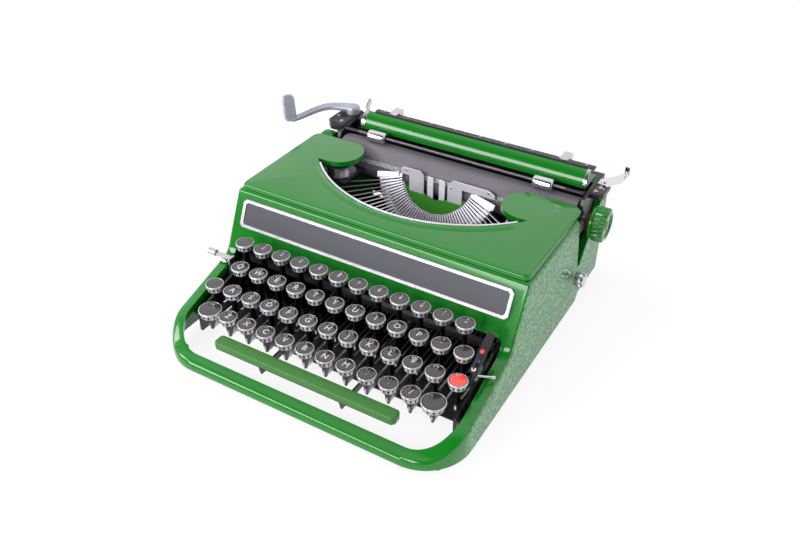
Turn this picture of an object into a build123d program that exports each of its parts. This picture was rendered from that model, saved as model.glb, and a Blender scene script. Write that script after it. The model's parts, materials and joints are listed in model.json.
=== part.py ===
from build123d import *
import math
import os

# Portable manual typewriter: pressed case, lift-off cover, open keyboard,
# slotted segment with its typebars, and a sliding carriage with the platen.
# Millimetres, X to the typist's right, Y to the back, Z up.
# The origin is on the table, under the middle of the case.

# Keyboard: everything across it is set out in key pitches
KEY_PITCH = 19.05
KEY_RADIUS = 7.8
KEY_ROOM = 2.44
SHIFT_RADIUS = 9.8
CUP_HEIGHT = 6.4
CUP_TAPER = 11.0
CUP_SIDES = 12
STEM_WIDTH = 5.0
LEVER_THICK = 1.6
LEVER_HEIGHT = 6.0
LEVER_BASE = 24.0
PIVOT_BACK = 214.0
PIVOT_UP = 27.0
PIVOT_RADIUS = 2.0
COMB_FRONT = 204.0
COMB_DEPTH = 5.0
COMB_TOP = 34.0
ROW_FRONT = 34.0
ROW_STEP = 18.5
ROW_LOW = 44.4
ROW_RISE = 10.8
ROW_STARTS = {1: -4.501, 2: -5.045, 3: -4.766, 4: -4.278}
ROW_COUNTS = {1: 11, 2: 11, 3: 11, 4: 10}
FUNCTION_KEYS = {
    "backspace_key": (1, -1, KEY_RADIUS),
    "margin_release_key": (2, 11, KEY_RADIUS),
    "shift_lock_key": (3, -1, KEY_RADIUS),
    "tab_key": (3, 11, KEY_RADIUS),
    "shift_key_left": (4, -1, SHIFT_RADIUS),
    "shift_key_right": (4, 10, SHIFT_RADIUS),
}
SPACE_MIDDLE = 0.2415
SPACE_REACH = 4.41
SPACE_ARMS_AT = [-1.9055, 2.0945]
SPACE_DEPTH_HALF = 5.5
SPACE_BACK = 16.8
SPACE_TOP = 34.8
SPACE_THICK = 6.5
SPACE_CORNER = 2.4
ARM_DROP = 7.0

# Case: as wide as the last key on the right asks for
RIM_WIDTH = 10.0
LAST_KEY = (ROW_STARTS[3] + ROW_COUNTS[3]) * KEY_PITCH
CASE_WIDTH = 2 * (LAST_KEY + KEY_RADIUS + KEY_ROOM + RIM_WIDTH)
CASE_DEPTH = 314.0
CASE_TOP = 101.0
CASE_BOTTOM = 4.0
REAR_BOTTOM = 11.0
WALL = 1.8
CORNER_FRONT = 40.0
CORNER_REAR = 16.0
BAR_TOP = 10.5
RIM_LIP = 4.0
EDGE_ROUND = 2.2
KINK = (101.0, 48.0)
PANEL_TOP_BACK = 126.5
WELL_BACK = 108.0
WELL_CORNER = 5.0
LEDGE = 8.0
FOOT_RADIUS = 7.0
FOOT_BACK = 258.0
REST_GAP = 0.3
HALF_DEPTH = CASE_DEPTH / 2
HALF_WIDTH = CASE_WIDTH / 2

# Lift-off cover and the mouth cut in it
COVER_FRONT = 128.5
COVER_BACK = 244.0
COVER_INSET = 2.6
COVER_HALF = HALF_WIDTH - COVER_INSET
COVER_TOP = 106.0
COVER_SHEET = 1.2
COVER_REAR_LIP = 1.8
MOUTH_RADIUS = 134.5
MOUTH_FRONT = 150.5
LOBE_INSET = 44.5
LOBE_X = HALF_WIDTH - LOBE_INSET
LOBE_RADIUS = 22.0
TRIM_WIDTH = 1.6
COVER_LIFT = 60.0

# Nameplate on the sloping front panel
PLATE_MARGIN = 10.0
PLATE_HEIGHT = 25.0
PLATE_RISE = 27.0
PLATE_BAND = 3.0
PLATE_PROUD = 1.8

# Chassis
CHASSIS_ROOM = 5.0
CHASSIS_HALF = HALF_WIDTH - RIM_WIDTH - CHASSIS_ROOM
CHASSIS_SHEET = 2.5
CHASSIS_TOP = 92.0
BASE_FRONT = 6.4
BASE_UP = 14.4
BASE_SHEET = 1.2
RAIL_FOOT = 58.0
TOUCH_BACK = 92.0

# Platen and carriage
PLATEN_BACK = 255.0
PLATEN_UP = 87.0
PLATEN_RADIUS = 17.5
CARRIAGE_X = 9.0
PLATEN_LENGTH = 240.0
SHAFT_RADIUS = 4.0
KNOB_RADIUS = 15.5
KNOB_LENGTH = 14.5
KNOB_GAP = 12.5
KNOB_FLUTES = 18
END_PLATE = 3.0
RUNNING = 0.06
BAIL_ROLLER = 5.5
BAIL_ROLLER_X = 84.5
BEAM_FRONT = 280.0
BEAM_BACK = 300.0
BEAM_UP = 104.0
BEAM_HEIGHT = 6.0
RAIL_INSET = 6.0
RAIL_HALF = CHASSIS_HALF - RAIL_INSET
RAIL_TOP = 103.6
END_HALF = PLATEN_LENGTH / 2 + 2.0
TABLE_INSET = (13.0, -2.5)
TABLE_TOP = 124.2
SCALE_INSET = (24.0, 0.0)
STOP_INSET = (20.0, 28.0)
BAIL_BACK = 256.8
BAIL_UP = 110.4
BAIL_ROD = 1.5
BAIL_PIVOT = (272.0, 101.0)
LEVER_PIN_OUT = 9.0
LEVER_PIN_BACK = 286.0
SIDE_KNOB = (227.0, 45.0)

# Typebars and segment
PRINT_BACK = 240.0
PRINT_UP = 100.0
SEGMENT_TILT = 30.0
SEGMENT_INNER = 37.0
SEGMENT_OUTER = 60.0
SEGMENT_THICK = 7.0
CRESCENT_INNER = 24.0
SLOT_DEPTH = 5.0
SLOT_WIDTH = 1.3
BAR_PIVOT = 55.0
BAR_COUNT = 43
BAR_SPREAD = 70.0
BAR_THICK = 0.9
BAR_LENGTH = 55.0
BAR_AXLE_DEPTH = 2.5
REST_SIDE = 27.0
REST_MIDDLE = 70.0
SLUG = (3.4, 2.6, 3.2)
SCALE_REACH = 18.8
SCALE_ARC = (12.0, 29.0)
GUIDE_FRONT = 234.8

# Ribbon spools under the cover's lobes
SPOOL_BACK = 218.0
SPOOL_RADIUS = 16.5
SPOOL_UP = 87.1
SPOOL_HEIGHT = 10.5
SHELF_INNER = 77.0

# Travels used to keep clear of other pieces
CARRIAGE_LEFT = 113.0
CARRIAGE_RIGHT = 95.0


def back(distance):
    """Y of a place that lies this far behind the case's front edge."""
    return distance - HALF_DEPTH


def yz(points):
    return [(back(y), z) for y, z in points]


def side_prism(points, x_low, x_high):
    """A plate standing across X, drawn as an outline in depth and height."""
    outline = Polyline(*[(x_low, y, z) for y, z in yz(points)], close=True)
    return extrude(make_face(outline), amount=x_high - x_low, dir=(1, 0, 0))


def rod_x(radius, x_low, x_high, depth, height):
    """A round bar along X."""
    spot = Plane(origin=(x_low, back(depth), height), z_dir=(1, 0, 0))
    return extrude(spot * Circle(radius), amount=x_high - x_low)


def block(x_low, x_high, front, rear, low, high):
    spot = Pos((x_low + x_high) / 2, back((front + rear) / 2), (low + high) / 2)
    return spot * Box(x_high - x_low, rear - front, high - low)


def mirrored(shape):
    return mirror(shape, about=Plane.YZ)


def polygon(radius, sides, height, place):
    """A prism on a regular polygon, standing on the given plane or place."""
    return place * extrude(RegularPolygon(radius, sides), amount=height)


def cut_corners(width, depth, size):
    outline = Rectangle(width, depth)
    return chamfer(outline.vertices(), size)


def toothed(radius, depth, count):
    """Outline of a knurled wheel: one shallow notch per tooth."""
    points = []
    for index in range(2 * count):
        reach = radius - depth * (index % 2)
        turn = math.pi * index / count
        points.append((reach * math.cos(turn), reach * math.sin(turn)))
    return make_face(Polyline(*points, close=True))


def save(node, *shapes):
    solids = [Pos(-ORIGIN_X, 0, 0) * s for shape in shapes for s in shape.solids()]
    result = solids[0] if len(solids) == 1 else Compound(children=solids)
    export_step(result, os.path.join("parts", node + ".step"))


def plan_outline(inset):
    """The case seen from above, drawn in by inset all round."""
    width = CASE_WIDTH - 2 * inset
    depth = CASE_DEPTH - 2 * inset
    outline = Rectangle(width, depth)
    front = outline.vertices().group_by(Axis.Y)[0]
    outline = fillet(front, CORNER_FRONT - inset)
    rear = outline.vertices().group_by(Axis.Y)[-1]
    return fillet(rear, CORNER_REAR - inset)


def profile_face(x_low):
    """The case seen from the side: low front bar, keyboard slope, steep
    front panel and level top."""
    points = [(0, BAR_TOP), (9, BAR_TOP + 2.5), (29, 27.0), KINK, (PANEL_TOP_BACK, CASE_TOP)]
    top = FilletPolyline(
        *[(x_low, y, z) for y, z in yz(points + [(CASE_DEPTH - 0.01, CASE_TOP)])],
        radius=[14, 30, 16, 3.5],
    )
    rest = Polyline(
        top @ 1,
        (x_low, back(CASE_DEPTH + 1), CASE_TOP),
        (x_low, back(CASE_DEPTH + 1), CASE_BOTTOM),
        (x_low, back(-1), CASE_BOTTOM),
        (x_low, back(-1), BAR_TOP - 0.1),
        top @ 0,
    )
    return make_face(top.edges() + rest.edges())


def profile_prism(drop):
    """The side view carried across the case, sunk by drop below the skin."""
    x_low = -HALF_WIDTH - 1
    face = profile_face(x_low)
    if drop:
        face = offset(face, amount=-drop, kind=Kind.INTERSECTION)
    return extrude(face, amount=CASE_WIDTH + 2, dir=(1, 0, 0))


def well_outline(grow):
    """The keyboard opening seen from above."""
    width = CASE_WIDTH - 2 * RIM_WIDTH + 2 * grow
    depth = WELL_BACK - RIM_WIDTH + 2 * grow
    outline = Rectangle(width, depth)
    front = outline.vertices().group_by(Axis.Y)[0]
    outline = fillet(front, CORNER_FRONT - RIM_WIDTH + grow)
    rear = outline.vertices().group_by(Axis.Y)[-1]
    outline = fillet(rear, WELL_CORNER + grow)
    return Pos(0, back((RIM_WIDTH + WELL_BACK) / 2), 0) * outline


def notch_prism(grow, x_low, x_high):
    """The V in each side wall that the platen knobs pass through."""
    high = CASE_TOP + 6
    points = [(227.5, high), (241, 46), (247, 46), (277, 84), (297, high)]
    outline = Polyline(*[(x_low, y, z) for y, z in yz(points)], close=True)
    face = make_face(outline)
    if grow:
        face = offset(face, amount=grow, kind=Kind.INTERSECTION)
    return extrude(face, amount=x_high - x_low, dir=(1, 0, 0))


def foot_places():
    """Each foot as X, distance from the front, radius and height."""
    reach = (CORNER_FRONT - RIM_WIDTH / 2 - 1.5) / math.sqrt(2)
    front_x = HALF_WIDTH - CORNER_FRONT + reach
    front_y = CORNER_FRONT - reach
    front = RIM_WIDTH / 2 - 0.6
    rear_x = HALF_WIDTH - WALL - FOOT_RADIUS - 0.4
    return [
        (-front_x, front_y, front, CASE_BOTTOM),
        (front_x, front_y, front, CASE_BOTTOM),
        (-rear_x, FOOT_BACK, FOOT_RADIUS, REAR_BOTTOM),
        (rear_x, FOOT_BACK, FOOT_RADIUS, REAR_BOTTOM),
    ]


def case_shell():
    """Pressed case: open keyboard ring in front, V notches at the sides."""
    outer = extrude(Pos(0, 0, CASE_BOTTOM) * plan_outline(0), amount=CASE_TOP - CASE_BOTTOM)
    outer = outer & profile_prism(0)
    rims = [e for e in outer.edges() if e.bounding_box().min.Z > CASE_BOTTOM + 0.5]
    outer = chamfer(rims, EDGE_ROUND)
    inside = extrude(Pos(0, 0, CASE_BOTTOM - 1) * plan_outline(WALL), amount=CASE_TOP)
    hollow = inside & profile_prism(WALL)
    hollow += inside & block(-HALF_WIDTH, HALF_WIDTH, 0, CASE_DEPTH, 0, CASE_BOTTOM + 2 * WALL)
    band = profile_prism(0) - Pos(0, 0, -RIM_LIP - WALL) * profile_prism(0)
    well = extrude(well_outline(0), amount=CASE_TOP)
    lip = (extrude(well_outline(WALL), amount=CASE_TOP) - well) & band
    shell = outer - hollow
    shell += lip
    shell -= well
    top_width = HALF_WIDTH - LEDGE
    shell -= block(-top_width, top_width, PANEL_TOP_BACK + LEDGE, CASE_DEPTH - LEDGE, 90, CASE_TOP + 1)
    ears = []
    for x, y, radius, height in foot_places():
        ear = polygon(radius + 1.5, 12, WALL, Pos(x, back(y), height))
        ears.append(ear & inside)
    shell += ears
    flange = notch_prism(WALL, HALF_WIDTH - 6, HALF_WIDTH - WALL) & outer
    shell += [flange, mirrored(flange)]
    notch = notch_prism(0, HALF_WIDTH - LEDGE - 2, HALF_WIDTH + 1)
    shell -= [notch, mirrored(notch)]
    step = [(246, 0), (254, REAR_BOTTOM), (CASE_DEPTH + 1, REAR_BOTTOM), (CASE_DEPTH + 1, 0)]
    return shell - side_prism(step, -HALF_WIDTH - 1, HALF_WIDTH + 1)


def rubber_feet():
    feet = []
    for x, y, radius, height in foot_places():
        foot = polygon(radius, 12, height, Pos(x, back(y), 0))
        feet.append(chamfer(foot.edges().group_by(Axis.Z)[0], 0.8))
    return feet


def panel_plane():
    """Plane on the sloping front panel, X to the right, Y up the slope."""
    run = PANEL_TOP_BACK - KINK[0]
    rise = CASE_TOP - KINK[1]
    length = math.hypot(run, rise)
    share = (PLATE_RISE + PLATE_HEIGHT / 2) / rise * (rise / length)
    centre = (0, back(KINK[0] + run * share), KINK[1] + rise * share)
    return Plane(origin=centre, x_dir=(1, 0, 0), z_dir=(0, -rise, run))


def nameplate():
    """Silver frame with its plain slate plate inside."""
    spot = panel_plane()
    width = CASE_WIDTH - 2 * PLATE_MARGIN
    whole = cut_corners(width, PLATE_HEIGHT, 2.8)
    inner = cut_corners(width - 2 * PLATE_BAND, PLATE_HEIGHT - 2 * PLATE_BAND, 1.8)
    frame = extrude(spot * (whole - inner), amount=PLATE_PROUD)
    plate = extrude(spot * inner, amount=PLATE_PROUD / 2)
    return frame, plate


def bottom_plate():
    """Dust sheet under the levers, bent down towards the front."""
    under = BASE_UP - BASE_SHEET
    points = [
        (58, BASE_FRONT - BASE_SHEET), (58, BASE_FRONT), (110, BASE_UP), (300, BASE_UP),
        (300, under), (110, under),
    ]
    return side_prism(points, -HALF_WIDTH + WALL + 1, HALF_WIDTH - WALL - 1)


def chassis():
    """Two side plates tied by cross rails, with the shelves for the spools."""
    points = [
        (42, BASE_FRONT), (42, 27), (98, 40), (112, 48), (125, 80), (140, CHASSIS_TOP),
        (222, CHASSIS_TOP), (231, RAIL_FOOT), (304, RAIL_FOOT), (304, BASE_UP), (110, BASE_UP),
        (58, BASE_FRONT),
    ]
    plate = side_prism(points, CHASSIS_HALF - CHASSIS_SHEET, CHASSIS_HALF)
    cross = CHASSIS_HALF - 1
    frame = plate + mirrored(plate)
    frame += block(-cross, cross, 104, 109, 45, 50)
    frame += block(-cross, cross, 299, 304, 20, RAIL_FOOT)
    frame += block(-cross, cross, 224, 229, 34, 46)
    low = SPOOL_UP - REST_GAP - 1.2
    for side in (-1, 1):
        inner, outer = sorted((side * SHELF_INNER, side * cross))
        frame += block(inner, outer, 200, 234, low, low + 1.2)
        pin = Pos(side * LOBE_X, back(SPOOL_BACK), low)
        frame += polygon(2, 12, SPOOL_HEIGHT + 2, pin)
    return frame


def lever_places():
    """X of every key lever, left to right."""
    places = [x for _, _, _, x in typing_keys()]
    places += [x for _, _, _, x, _ in function_keys().values()]
    return sorted(places + space_arms())


def space_arms():
    return [at * KEY_PITCH for at in SPACE_ARMS_AT]


def lever_comb():
    """Slotted bar that keeps the levers apart, and the shaft behind it."""
    half = CHASSIS_HALF - CHASSIS_SHEET
    comb = block(-half, half, COMB_FRONT, COMB_FRONT + COMB_DEPTH, BASE_UP, COMB_TOP)
    half_slot = LEVER_THICK / 2 + REST_GAP
    front = COMB_FRONT - 1
    rear = COMB_FRONT + COMB_DEPTH + 1
    slots = []
    for x in lever_places():
        slots.append(block(x - half_slot, x + half_slot, front, rear, 22.4, COMB_TOP + 1))
    comb -= slots
    shaft = rod_x(PIVOT_RADIUS, -half, half, PIVOT_BACK, PIVOT_UP)
    return comb, shaft


def row_place(row):
    """Distance from the front and height of a row's key tops, row 1 at the back."""
    step = 4 - row
    return ROW_FRONT + ROW_STEP * step, ROW_LOW + ROW_RISE * step


def key_x(row, index):
    return (ROW_STARTS[row] + index) * KEY_PITCH


def typing_keys():
    keys = []
    for row, count in ROW_COUNTS.items():
        y, z = row_place(row)
        for index in range(count):
            keys.append((row, y, z, key_x(row, index)))
    return keys


def function_keys():
    keys = {}
    for name, (row, index, radius) in FUNCTION_KEYS.items():
        y, z = row_place(row)
        keys[name] = (row, y, z, key_x(row, index), radius)
    return keys


def key_cup(x, y, z, radius):
    """Cup with flat sides that draw in towards the lever."""
    turns = [2 * math.pi * side / CUP_SIDES for side in range(CUP_SIDES)]
    draw_in = CUP_HEIGHT * math.tan(math.radians(CUP_TAPER)) / math.cos(math.pi / CUP_SIDES)
    upper, lower = [
        [(x + reach * math.cos(turn), back(y) + reach * math.sin(turn), level) for turn in turns]
        for reach, level in ((radius, z), (radius - draw_in, z - CUP_HEIGHT))
    ]
    faces = [make_face(Polyline(*upper, close=True)), make_face(Polyline(*lower, close=True))]
    for side in range(CUP_SIDES):
        after = (side + 1) % CUP_SIDES
        corners = [upper[side], upper[after], lower[after], lower[side]]
        faces.append(make_face(Polyline(*corners, close=True)))
    return Solid(Shell(faces))


def key(x, y, z, radius):
    """Key cup on its bent lever."""
    cup = key_cup(x, y, z, radius)
    half = STEM_WIDTH / 2
    low = LEVER_BASE
    high = LEVER_BASE + LEVER_HEIGHT
    tail = PIVOT_BACK - PIVOT_RADIUS - REST_GAP
    points = [
        (y - half, low + 3), (y - half, z - CUP_HEIGHT + 1), (y + half, z - CUP_HEIGHT + 1),
        (y + half + 1, high + 3), (y + half + 5, high), (tail, high), (tail, low), (y + half, low),
    ]
    return cup + side_prism(points, x - LEVER_THICK / 2, x + LEVER_THICK / 2)


def space_bar():
    """Bar with rounded corners on two cranked levers."""
    outline = cut_corners(2 * SPACE_REACH * KEY_PITCH, 2 * SPACE_DEPTH_HALF, SPACE_CORNER)
    spot = Pos(SPACE_MIDDLE * KEY_PITCH, back(SPACE_BACK), SPACE_TOP - SPACE_THICK)
    bar = spot * extrude(outline, amount=SPACE_THICK)
    bar = chamfer(bar.edges().group_by(Axis.Z)[-1], 1.4)
    tail = PIVOT_BACK - PIVOT_RADIUS - REST_GAP
    low = LEVER_BASE
    high = LEVER_BASE + LEVER_HEIGHT
    points = [
        (SPACE_BACK - 4, SPACE_TOP - 5), (SPACE_BACK + 4, SPACE_TOP - 5),
        (SPACE_BACK + 7, high - ARM_DROP), (ROW_FRONT + 14, high - ARM_DROP), (ROW_FRONT + 24, high),
        (tail, high), (tail, low), (ROW_FRONT + 26, low), (ROW_FRONT + 16, low - ARM_DROP),
        (SPACE_BACK - 1, low - ARM_DROP),
    ]
    for x in space_arms():
        bar += side_prism(points, x - LEVER_THICK / 2, x + LEVER_THICK / 2)
    return bar


def cover_outline(inset):
    """The cover seen from above: a rounded rectangle with the mouth cut out."""
    width = 2 * (COVER_HALF - inset)
    depth = COVER_BACK - COVER_FRONT - 2 * inset
    outline = Rectangle(width, depth)
    front = outline.vertices().group_by(Axis.Y)[0]
    outline = fillet(front, 5 - inset)
    rear = outline.vertices().group_by(Axis.Y)[-1]
    outline = fillet(rear, 9 - inset)
    return Pos(0, back((COVER_FRONT + COVER_BACK) / 2), 0) * outline


def mouth_outline(inset):
    """Wide arc in front, open to the rear between two round lobes."""
    chord = COVER_BACK - 2 * LOBE_RADIUS + inset
    disk = Pos(0, back(MOUTH_FRONT + MOUTH_RADIUS), 0) * Circle(MOUTH_RADIUS + inset)
    front = Pos(0, back(chord) - 50, 0) * Rectangle(300, 100)
    throat = Pos(0, back(chord) + 50, 0) * Rectangle(2 * LOBE_X, 100)
    mouth = (disk & front) + throat
    for side in (-1, 1):
        centre = Pos(side * LOBE_X, back(COVER_BACK - LOBE_RADIUS), 0)
        mouth -= centre * Circle(LOBE_RADIUS - inset)
    return mouth


def ring_part(inner, outer, low, high, half_angle):
    """A flat ring round the middle of the mouth's arc, in front of it only."""
    ring = Circle(outer) - Circle(inner)
    far = 2 * outer
    reach = far * math.tan(math.radians(half_angle))
    wedge = make_face(Polyline((0, 0), (-reach, -far), (reach, -far), close=True))
    spot = Pos(0, back(MOUTH_FRONT + MOUTH_RADIUS), low)
    return spot * extrude(ring & wedge, amount=high - low)


def top_cover():
    """Lift-off cover over the typebars, with turned-down edges and a bead."""
    low = CASE_TOP + REST_GAP
    solid = Pos(0, 0, low) * extrude(cover_outline(0), amount=COVER_TOP - low)
    solid = chamfer(solid.edges().group_by(Axis.Z)[-1], 1.8)
    solid -= Pos(0, 0, low - 1) * extrude(mouth_outline(0), amount=10)
    inner = cover_outline(COVER_SHEET) - mouth_outline(COVER_SHEET)
    solid -= Pos(0, 0, low - 1) * extrude(inner, amount=COVER_TOP - COVER_SHEET - low + 1)
    rear = COVER_BACK - 5.5
    solid -= block(-COVER_HALF - 1, COVER_HALF + 1, rear, COVER_BACK + 1, low - 1, COVER_TOP - COVER_REAR_LIP)
    bead = ring_part(MOUTH_RADIUS + 2, MOUTH_RADIUS + 8, COVER_TOP - 0.5, COVER_TOP + 1.4, 44)
    rounded = [e for e in bead.edges().group_by(Axis.Z)[-1] if e.geom_type == GeomType.CIRCLE]
    return solid + chamfer(rounded, length=1.3, length2=2.2)


def mouth_trim():
    """Bright strip along the front of the mouth."""
    low = CASE_TOP + REST_GAP
    inner = MOUTH_RADIUS - TRIM_WIDTH
    return ring_part(inner, MOUTH_RADIUS, low, COVER_TOP + 0.8, 47)


def segment_plane():
    """Tilted plane of the slotted segment, its origin at the printing point."""
    tilt = math.radians(SEGMENT_TILT)
    facing = (0, -math.cos(tilt), math.sin(tilt))
    return Plane(origin=(0, back(PRINT_BACK), PRINT_UP), x_dir=(1, 0, 0), z_dir=facing)


def bar_step():
    return 2 * BAR_SPREAD / (BAR_COUNT - 1)


def fan(inner, outer, half_angle, low, high, facets=1):
    """Part of a ring below the printing point, in the segment's plane.
    Its edge is made of short flats, one for so many typebars."""
    sides = round(360 / bar_step() / facets)
    turn = 180 / sides
    ring = RegularPolygon(outer, sides, rotation=turn) - RegularPolygon(inner, sides, rotation=turn)
    side = math.radians(half_angle)
    edge = (2 * outer * math.sin(side), -2 * outer * math.cos(side))
    wedge = Polyline((0, 0), (-edge[0], edge[1]), (-2 * outer, -2 * outer),
                     (2 * outer, -2 * outer), edge, close=True)
    return segment_plane() * Pos(0, 0, low) * extrude(ring & make_face(wedge), amount=high - low)


def bar_angles():
    return [-BAR_SPREAD + bar_step() * index for index in range(BAR_COUNT)]


def platen_room(gap):
    """Space that the platen and its scale take while the carriage slides."""
    return rod_x(SCALE_REACH + gap, -HALF_WIDTH, HALF_WIDTH, PLATEN_BACK, PLATEN_UP)


def typebar_segment():
    """Slotted half ring that carries the typebars, with a raised shoulder at
    each end and a foot."""
    body = fan(SEGMENT_INNER, SEGMENT_OUTER, BAR_SPREAD + 6, -SEGMENT_THICK, 0)
    shoulders = fan(SEGMENT_INNER + 3, SEGMENT_OUTER + 2, BAR_SPREAD + 8, -SEGMENT_THICK, 1.5, 3)
    shoulders -= fan(SEGMENT_INNER - 9, SEGMENT_OUTER + 9, BAR_SPREAD + 3, -SEGMENT_THICK - 1, 3, 3)
    body += shoulders
    slots = []
    for angle in bar_angles():
        slot = Pos(0, -(SEGMENT_INNER + SEGMENT_OUTER) / 2, SEGMENT_THICK / 2 - SLOT_DEPTH)
        cut = Box(SLOT_WIDTH, SEGMENT_OUTER - SEGMENT_INNER + 4, SEGMENT_THICK)
        slots.append(segment_plane() * Rot(0, 0, angle) * slot * cut)
    body -= slots
    foot = side_prism(
        [(217, 46), (227.6, 64.4), (230, 70), (GUIDE_FRONT, 70), (GUIDE_FRONT, 46)], -14, 14
    )
    front = segment_plane() * Pos(0, 0, 25 - SEGMENT_THICK) * Box(200, 160, 50)
    body += foot - front
    return body - platen_room(REST_GAP)


def segment_cover():
    """Green crescent plate inside the segment."""
    low = -SEGMENT_THICK + 0.5
    plate = fan(CRESCENT_INNER, SEGMENT_INNER - 0.1, 68, low, low + 1.2, 6)
    return plate - platen_room(2 * REST_GAP)


def rest_angle(angle):
    """How far a resting typebar stands out of the segment's plane, in degrees."""
    share = math.cos(math.radians(angle))
    edge = math.cos(math.radians(BAR_SPREAD))
    return REST_SIDE + (REST_MIDDLE - REST_SIDE) * (share - edge) / (1 - edge)


def typebar(angle, root, rounded):
    """A typebar with its type block, lying at rest in its slot. The one that
    swings has a round root, the others a plain one."""
    tip = BAR_LENGTH - 1
    top = Polyline((0, root), (tip, 0.2), (tip, -1.8), (0, -root))
    if rounded:
        end = ThreePointArc((0, -root), (-root, 0), (0, root))
    else:
        end = Polyline((0, -root), (-0.8 * root, 0), (0, root))
    bar = extrude(make_face(top.edges() + end.edges()), amount=BAR_THICK / 2, both=True)
    bar += Pos(BAR_LENGTH, SLUG[2] / 2 - 1.6, 0) * Box(SLUG[0], SLUG[2], SLUG[1])
    lift = Rot(0, 0, rest_angle(angle)) * bar
    upright = Plane(origin=(0, -BAR_PIVOT, -BAR_AXLE_DEPTH), x_dir=(0, -1, 0), z_dir=(-1, 0, 0))
    return segment_plane() * Rot(0, 0, angle) * (upright * lift)


def typebars():
    """The resting bars, and the middle one that can swing."""
    resting = []
    for angle in bar_angles():
        if abs(angle) > 1:
            resting.append(typebar(angle, SLOT_DEPTH - BAR_AXLE_DEPTH, False))
    return resting, typebar(0, SLOT_DEPTH - BAR_AXLE_DEPTH - REST_GAP, True)


def xz_plate(points, front, thick):
    """An upright plate facing the typist, drawn as an outline in X and height."""
    outline = Polyline(*[(x, back(front), z) for x, z in points], close=True)
    return extrude(make_face(outline), amount=thick, dir=(0, 1, 0))


def type_guide():
    """Card guides on both sides of the printing point."""
    right = [(12.6, 74), (27, 74), (27, 94), (59, 94), (59, 97.5), (52, 101), (18, 101), (12.6, 96)]
    left = [(-12, 74), (-27, 74), (-27, 94), (-36, 94), (-36, 99), (-33, 101), (-16, 101), (-12, 97)]
    plates = xz_plate(right, GUIDE_FRONT - 1.2, 1.2) + xz_plate(left, GUIDE_FRONT - 1.2, 1.2)
    low = -SEGMENT_THICK + 0.5
    tilt = segment_plane() * Pos(0, 0, low + 1.2 - 25) * Box(200, 160, 50)
    return plates - tilt


def ribbon_vibrator():
    """Forked carrier that lifts the ribbon to the printing point."""
    front = GUIDE_FRONT + 0.4
    fork = xz_plate([(-9, 62), (-9, 97), (-3, 97), (-3, 72), (3, 72), (3, 97), (9, 97), (9, 62)], front, 1)
    return fork


def ribbon_spool(side):
    """Flanged spool with a hub."""
    spot = Pos(side * LOBE_X, back(SPOOL_BACK), SPOOL_UP)
    spool = polygon(SPOOL_RADIUS, 14, 0.8, spot)
    spool += polygon(11, 14, SPOOL_HEIGHT, spot)
    spool += polygon(SPOOL_RADIUS, 14, 0.8, spot * Pos(0, 0, SPOOL_HEIGHT - 0.8))
    return spool - spot * Pos(0, 0, -1) * extrude(Circle(2 + RUNNING), amount=SPOOL_HEIGHT + 2)


def carriage_x(offset):
    return CARRIAGE_X + offset


def carriage_frame():
    """Cross beam, truck on the rail, and the two end plates."""
    low = carriage_x(-END_HALF - END_PLATE)
    high = carriage_x(END_HALF + END_PLATE)
    beam = block(low, high, BEAM_FRONT, BEAM_BACK, BEAM_UP, BEAM_UP + BEAM_HEIGHT)
    truck = block(0, 18, BEAM_FRONT + 1, BEAM_BACK, RAIL_TOP - 8, BEAM_UP)
    room = rail_profile(REST_GAP)
    beam += truck - room
    outline = [
        (PLATEN_BACK - 11.5, 92), (PLATEN_BACK - 4, 108), (PLATEN_BACK + 14, 110),
        (BEAM_FRONT, 110), (BEAM_FRONT + 3, BEAM_UP), (268, 84),
    ]
    for x_low in (low, high - END_PLATE):
        plate = side_prism(outline, x_low, x_low + END_PLATE)
        boss = Plane(origin=(x_low, back(PLATEN_BACK), PLATEN_UP), x_dir=(0, 1, 0), z_dir=(1, 0, 0))
        plate += polygon(13, 18, END_PLATE, boss)
        beam += plate
    beam -= rod_x(SHAFT_RADIUS + RUNNING, low - 1, high + 1, PLATEN_BACK, PLATEN_UP)
    return beam


def rail_profile(grow):
    """T rail under the carriage; grown by a gap it is the room it needs."""
    web = block(-RAIL_HALF, RAIL_HALF, 289.5 - grow, 292.5 + grow, RAIL_FOOT, RAIL_TOP)
    head = block(-RAIL_HALF, RAIL_HALF, 285 - grow, 297 + grow, RAIL_TOP - 3.7 - grow, RAIL_TOP + grow)
    return web + head


def carriage_rail():
    foot = block(-RAIL_HALF, RAIL_HALF, 284, 304, RAIL_FOOT, RAIL_FOOT + 2)
    return rail_profile(0) + foot


def platen():
    """Rubber roller on its shaft, and a fluted knob at each end."""
    low = carriage_x(-PLATEN_LENGTH / 2)
    high = carriage_x(PLATEN_LENGTH / 2)
    roller = rod_x(PLATEN_RADIUS, low, high, PLATEN_BACK, PLATEN_UP)
    roller += rod_x(SHAFT_RADIUS, low - 26, high + 21, PLATEN_BACK, PLATEN_UP)
    knobs = []
    for x_inner, way in ((high + KNOB_GAP, 1), (low - KNOB_GAP, -1)):
        knobs.append(knob(x_inner, way) - roller)
    return roller, knobs[1], knobs[0]


def knob(x_inner, way):
    """Knurled grip between a plain inner rim and a dished outer face."""
    spot = Plane(origin=(x_inner, back(PLATEN_BACK), PLATEN_UP), x_dir=(0, 1, 0), z_dir=(way, 0, 0))
    rim = 3.0
    face = 1.2
    grip = extrude(RegularPolygon(KNOB_RADIUS, KNOB_FLUTES), amount=rim)
    teeth = toothed(KNOB_RADIUS - 0.3, 0.9, KNOB_FLUTES)
    grip += Pos(0, 0, rim) * extrude(teeth, amount=KNOB_LENGTH - rim - face)
    cap = RegularPolygon(KNOB_RADIUS - 1.4, KNOB_FLUTES)
    grip += Pos(0, 0, KNOB_LENGTH - face) * extrude(cap, amount=face)
    dish = extrude(RegularPolygon(KNOB_RADIUS - 4, 18), amount=3)
    return spot * (grip - Pos(0, 0, KNOB_LENGTH - 1.6) * dish)


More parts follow.
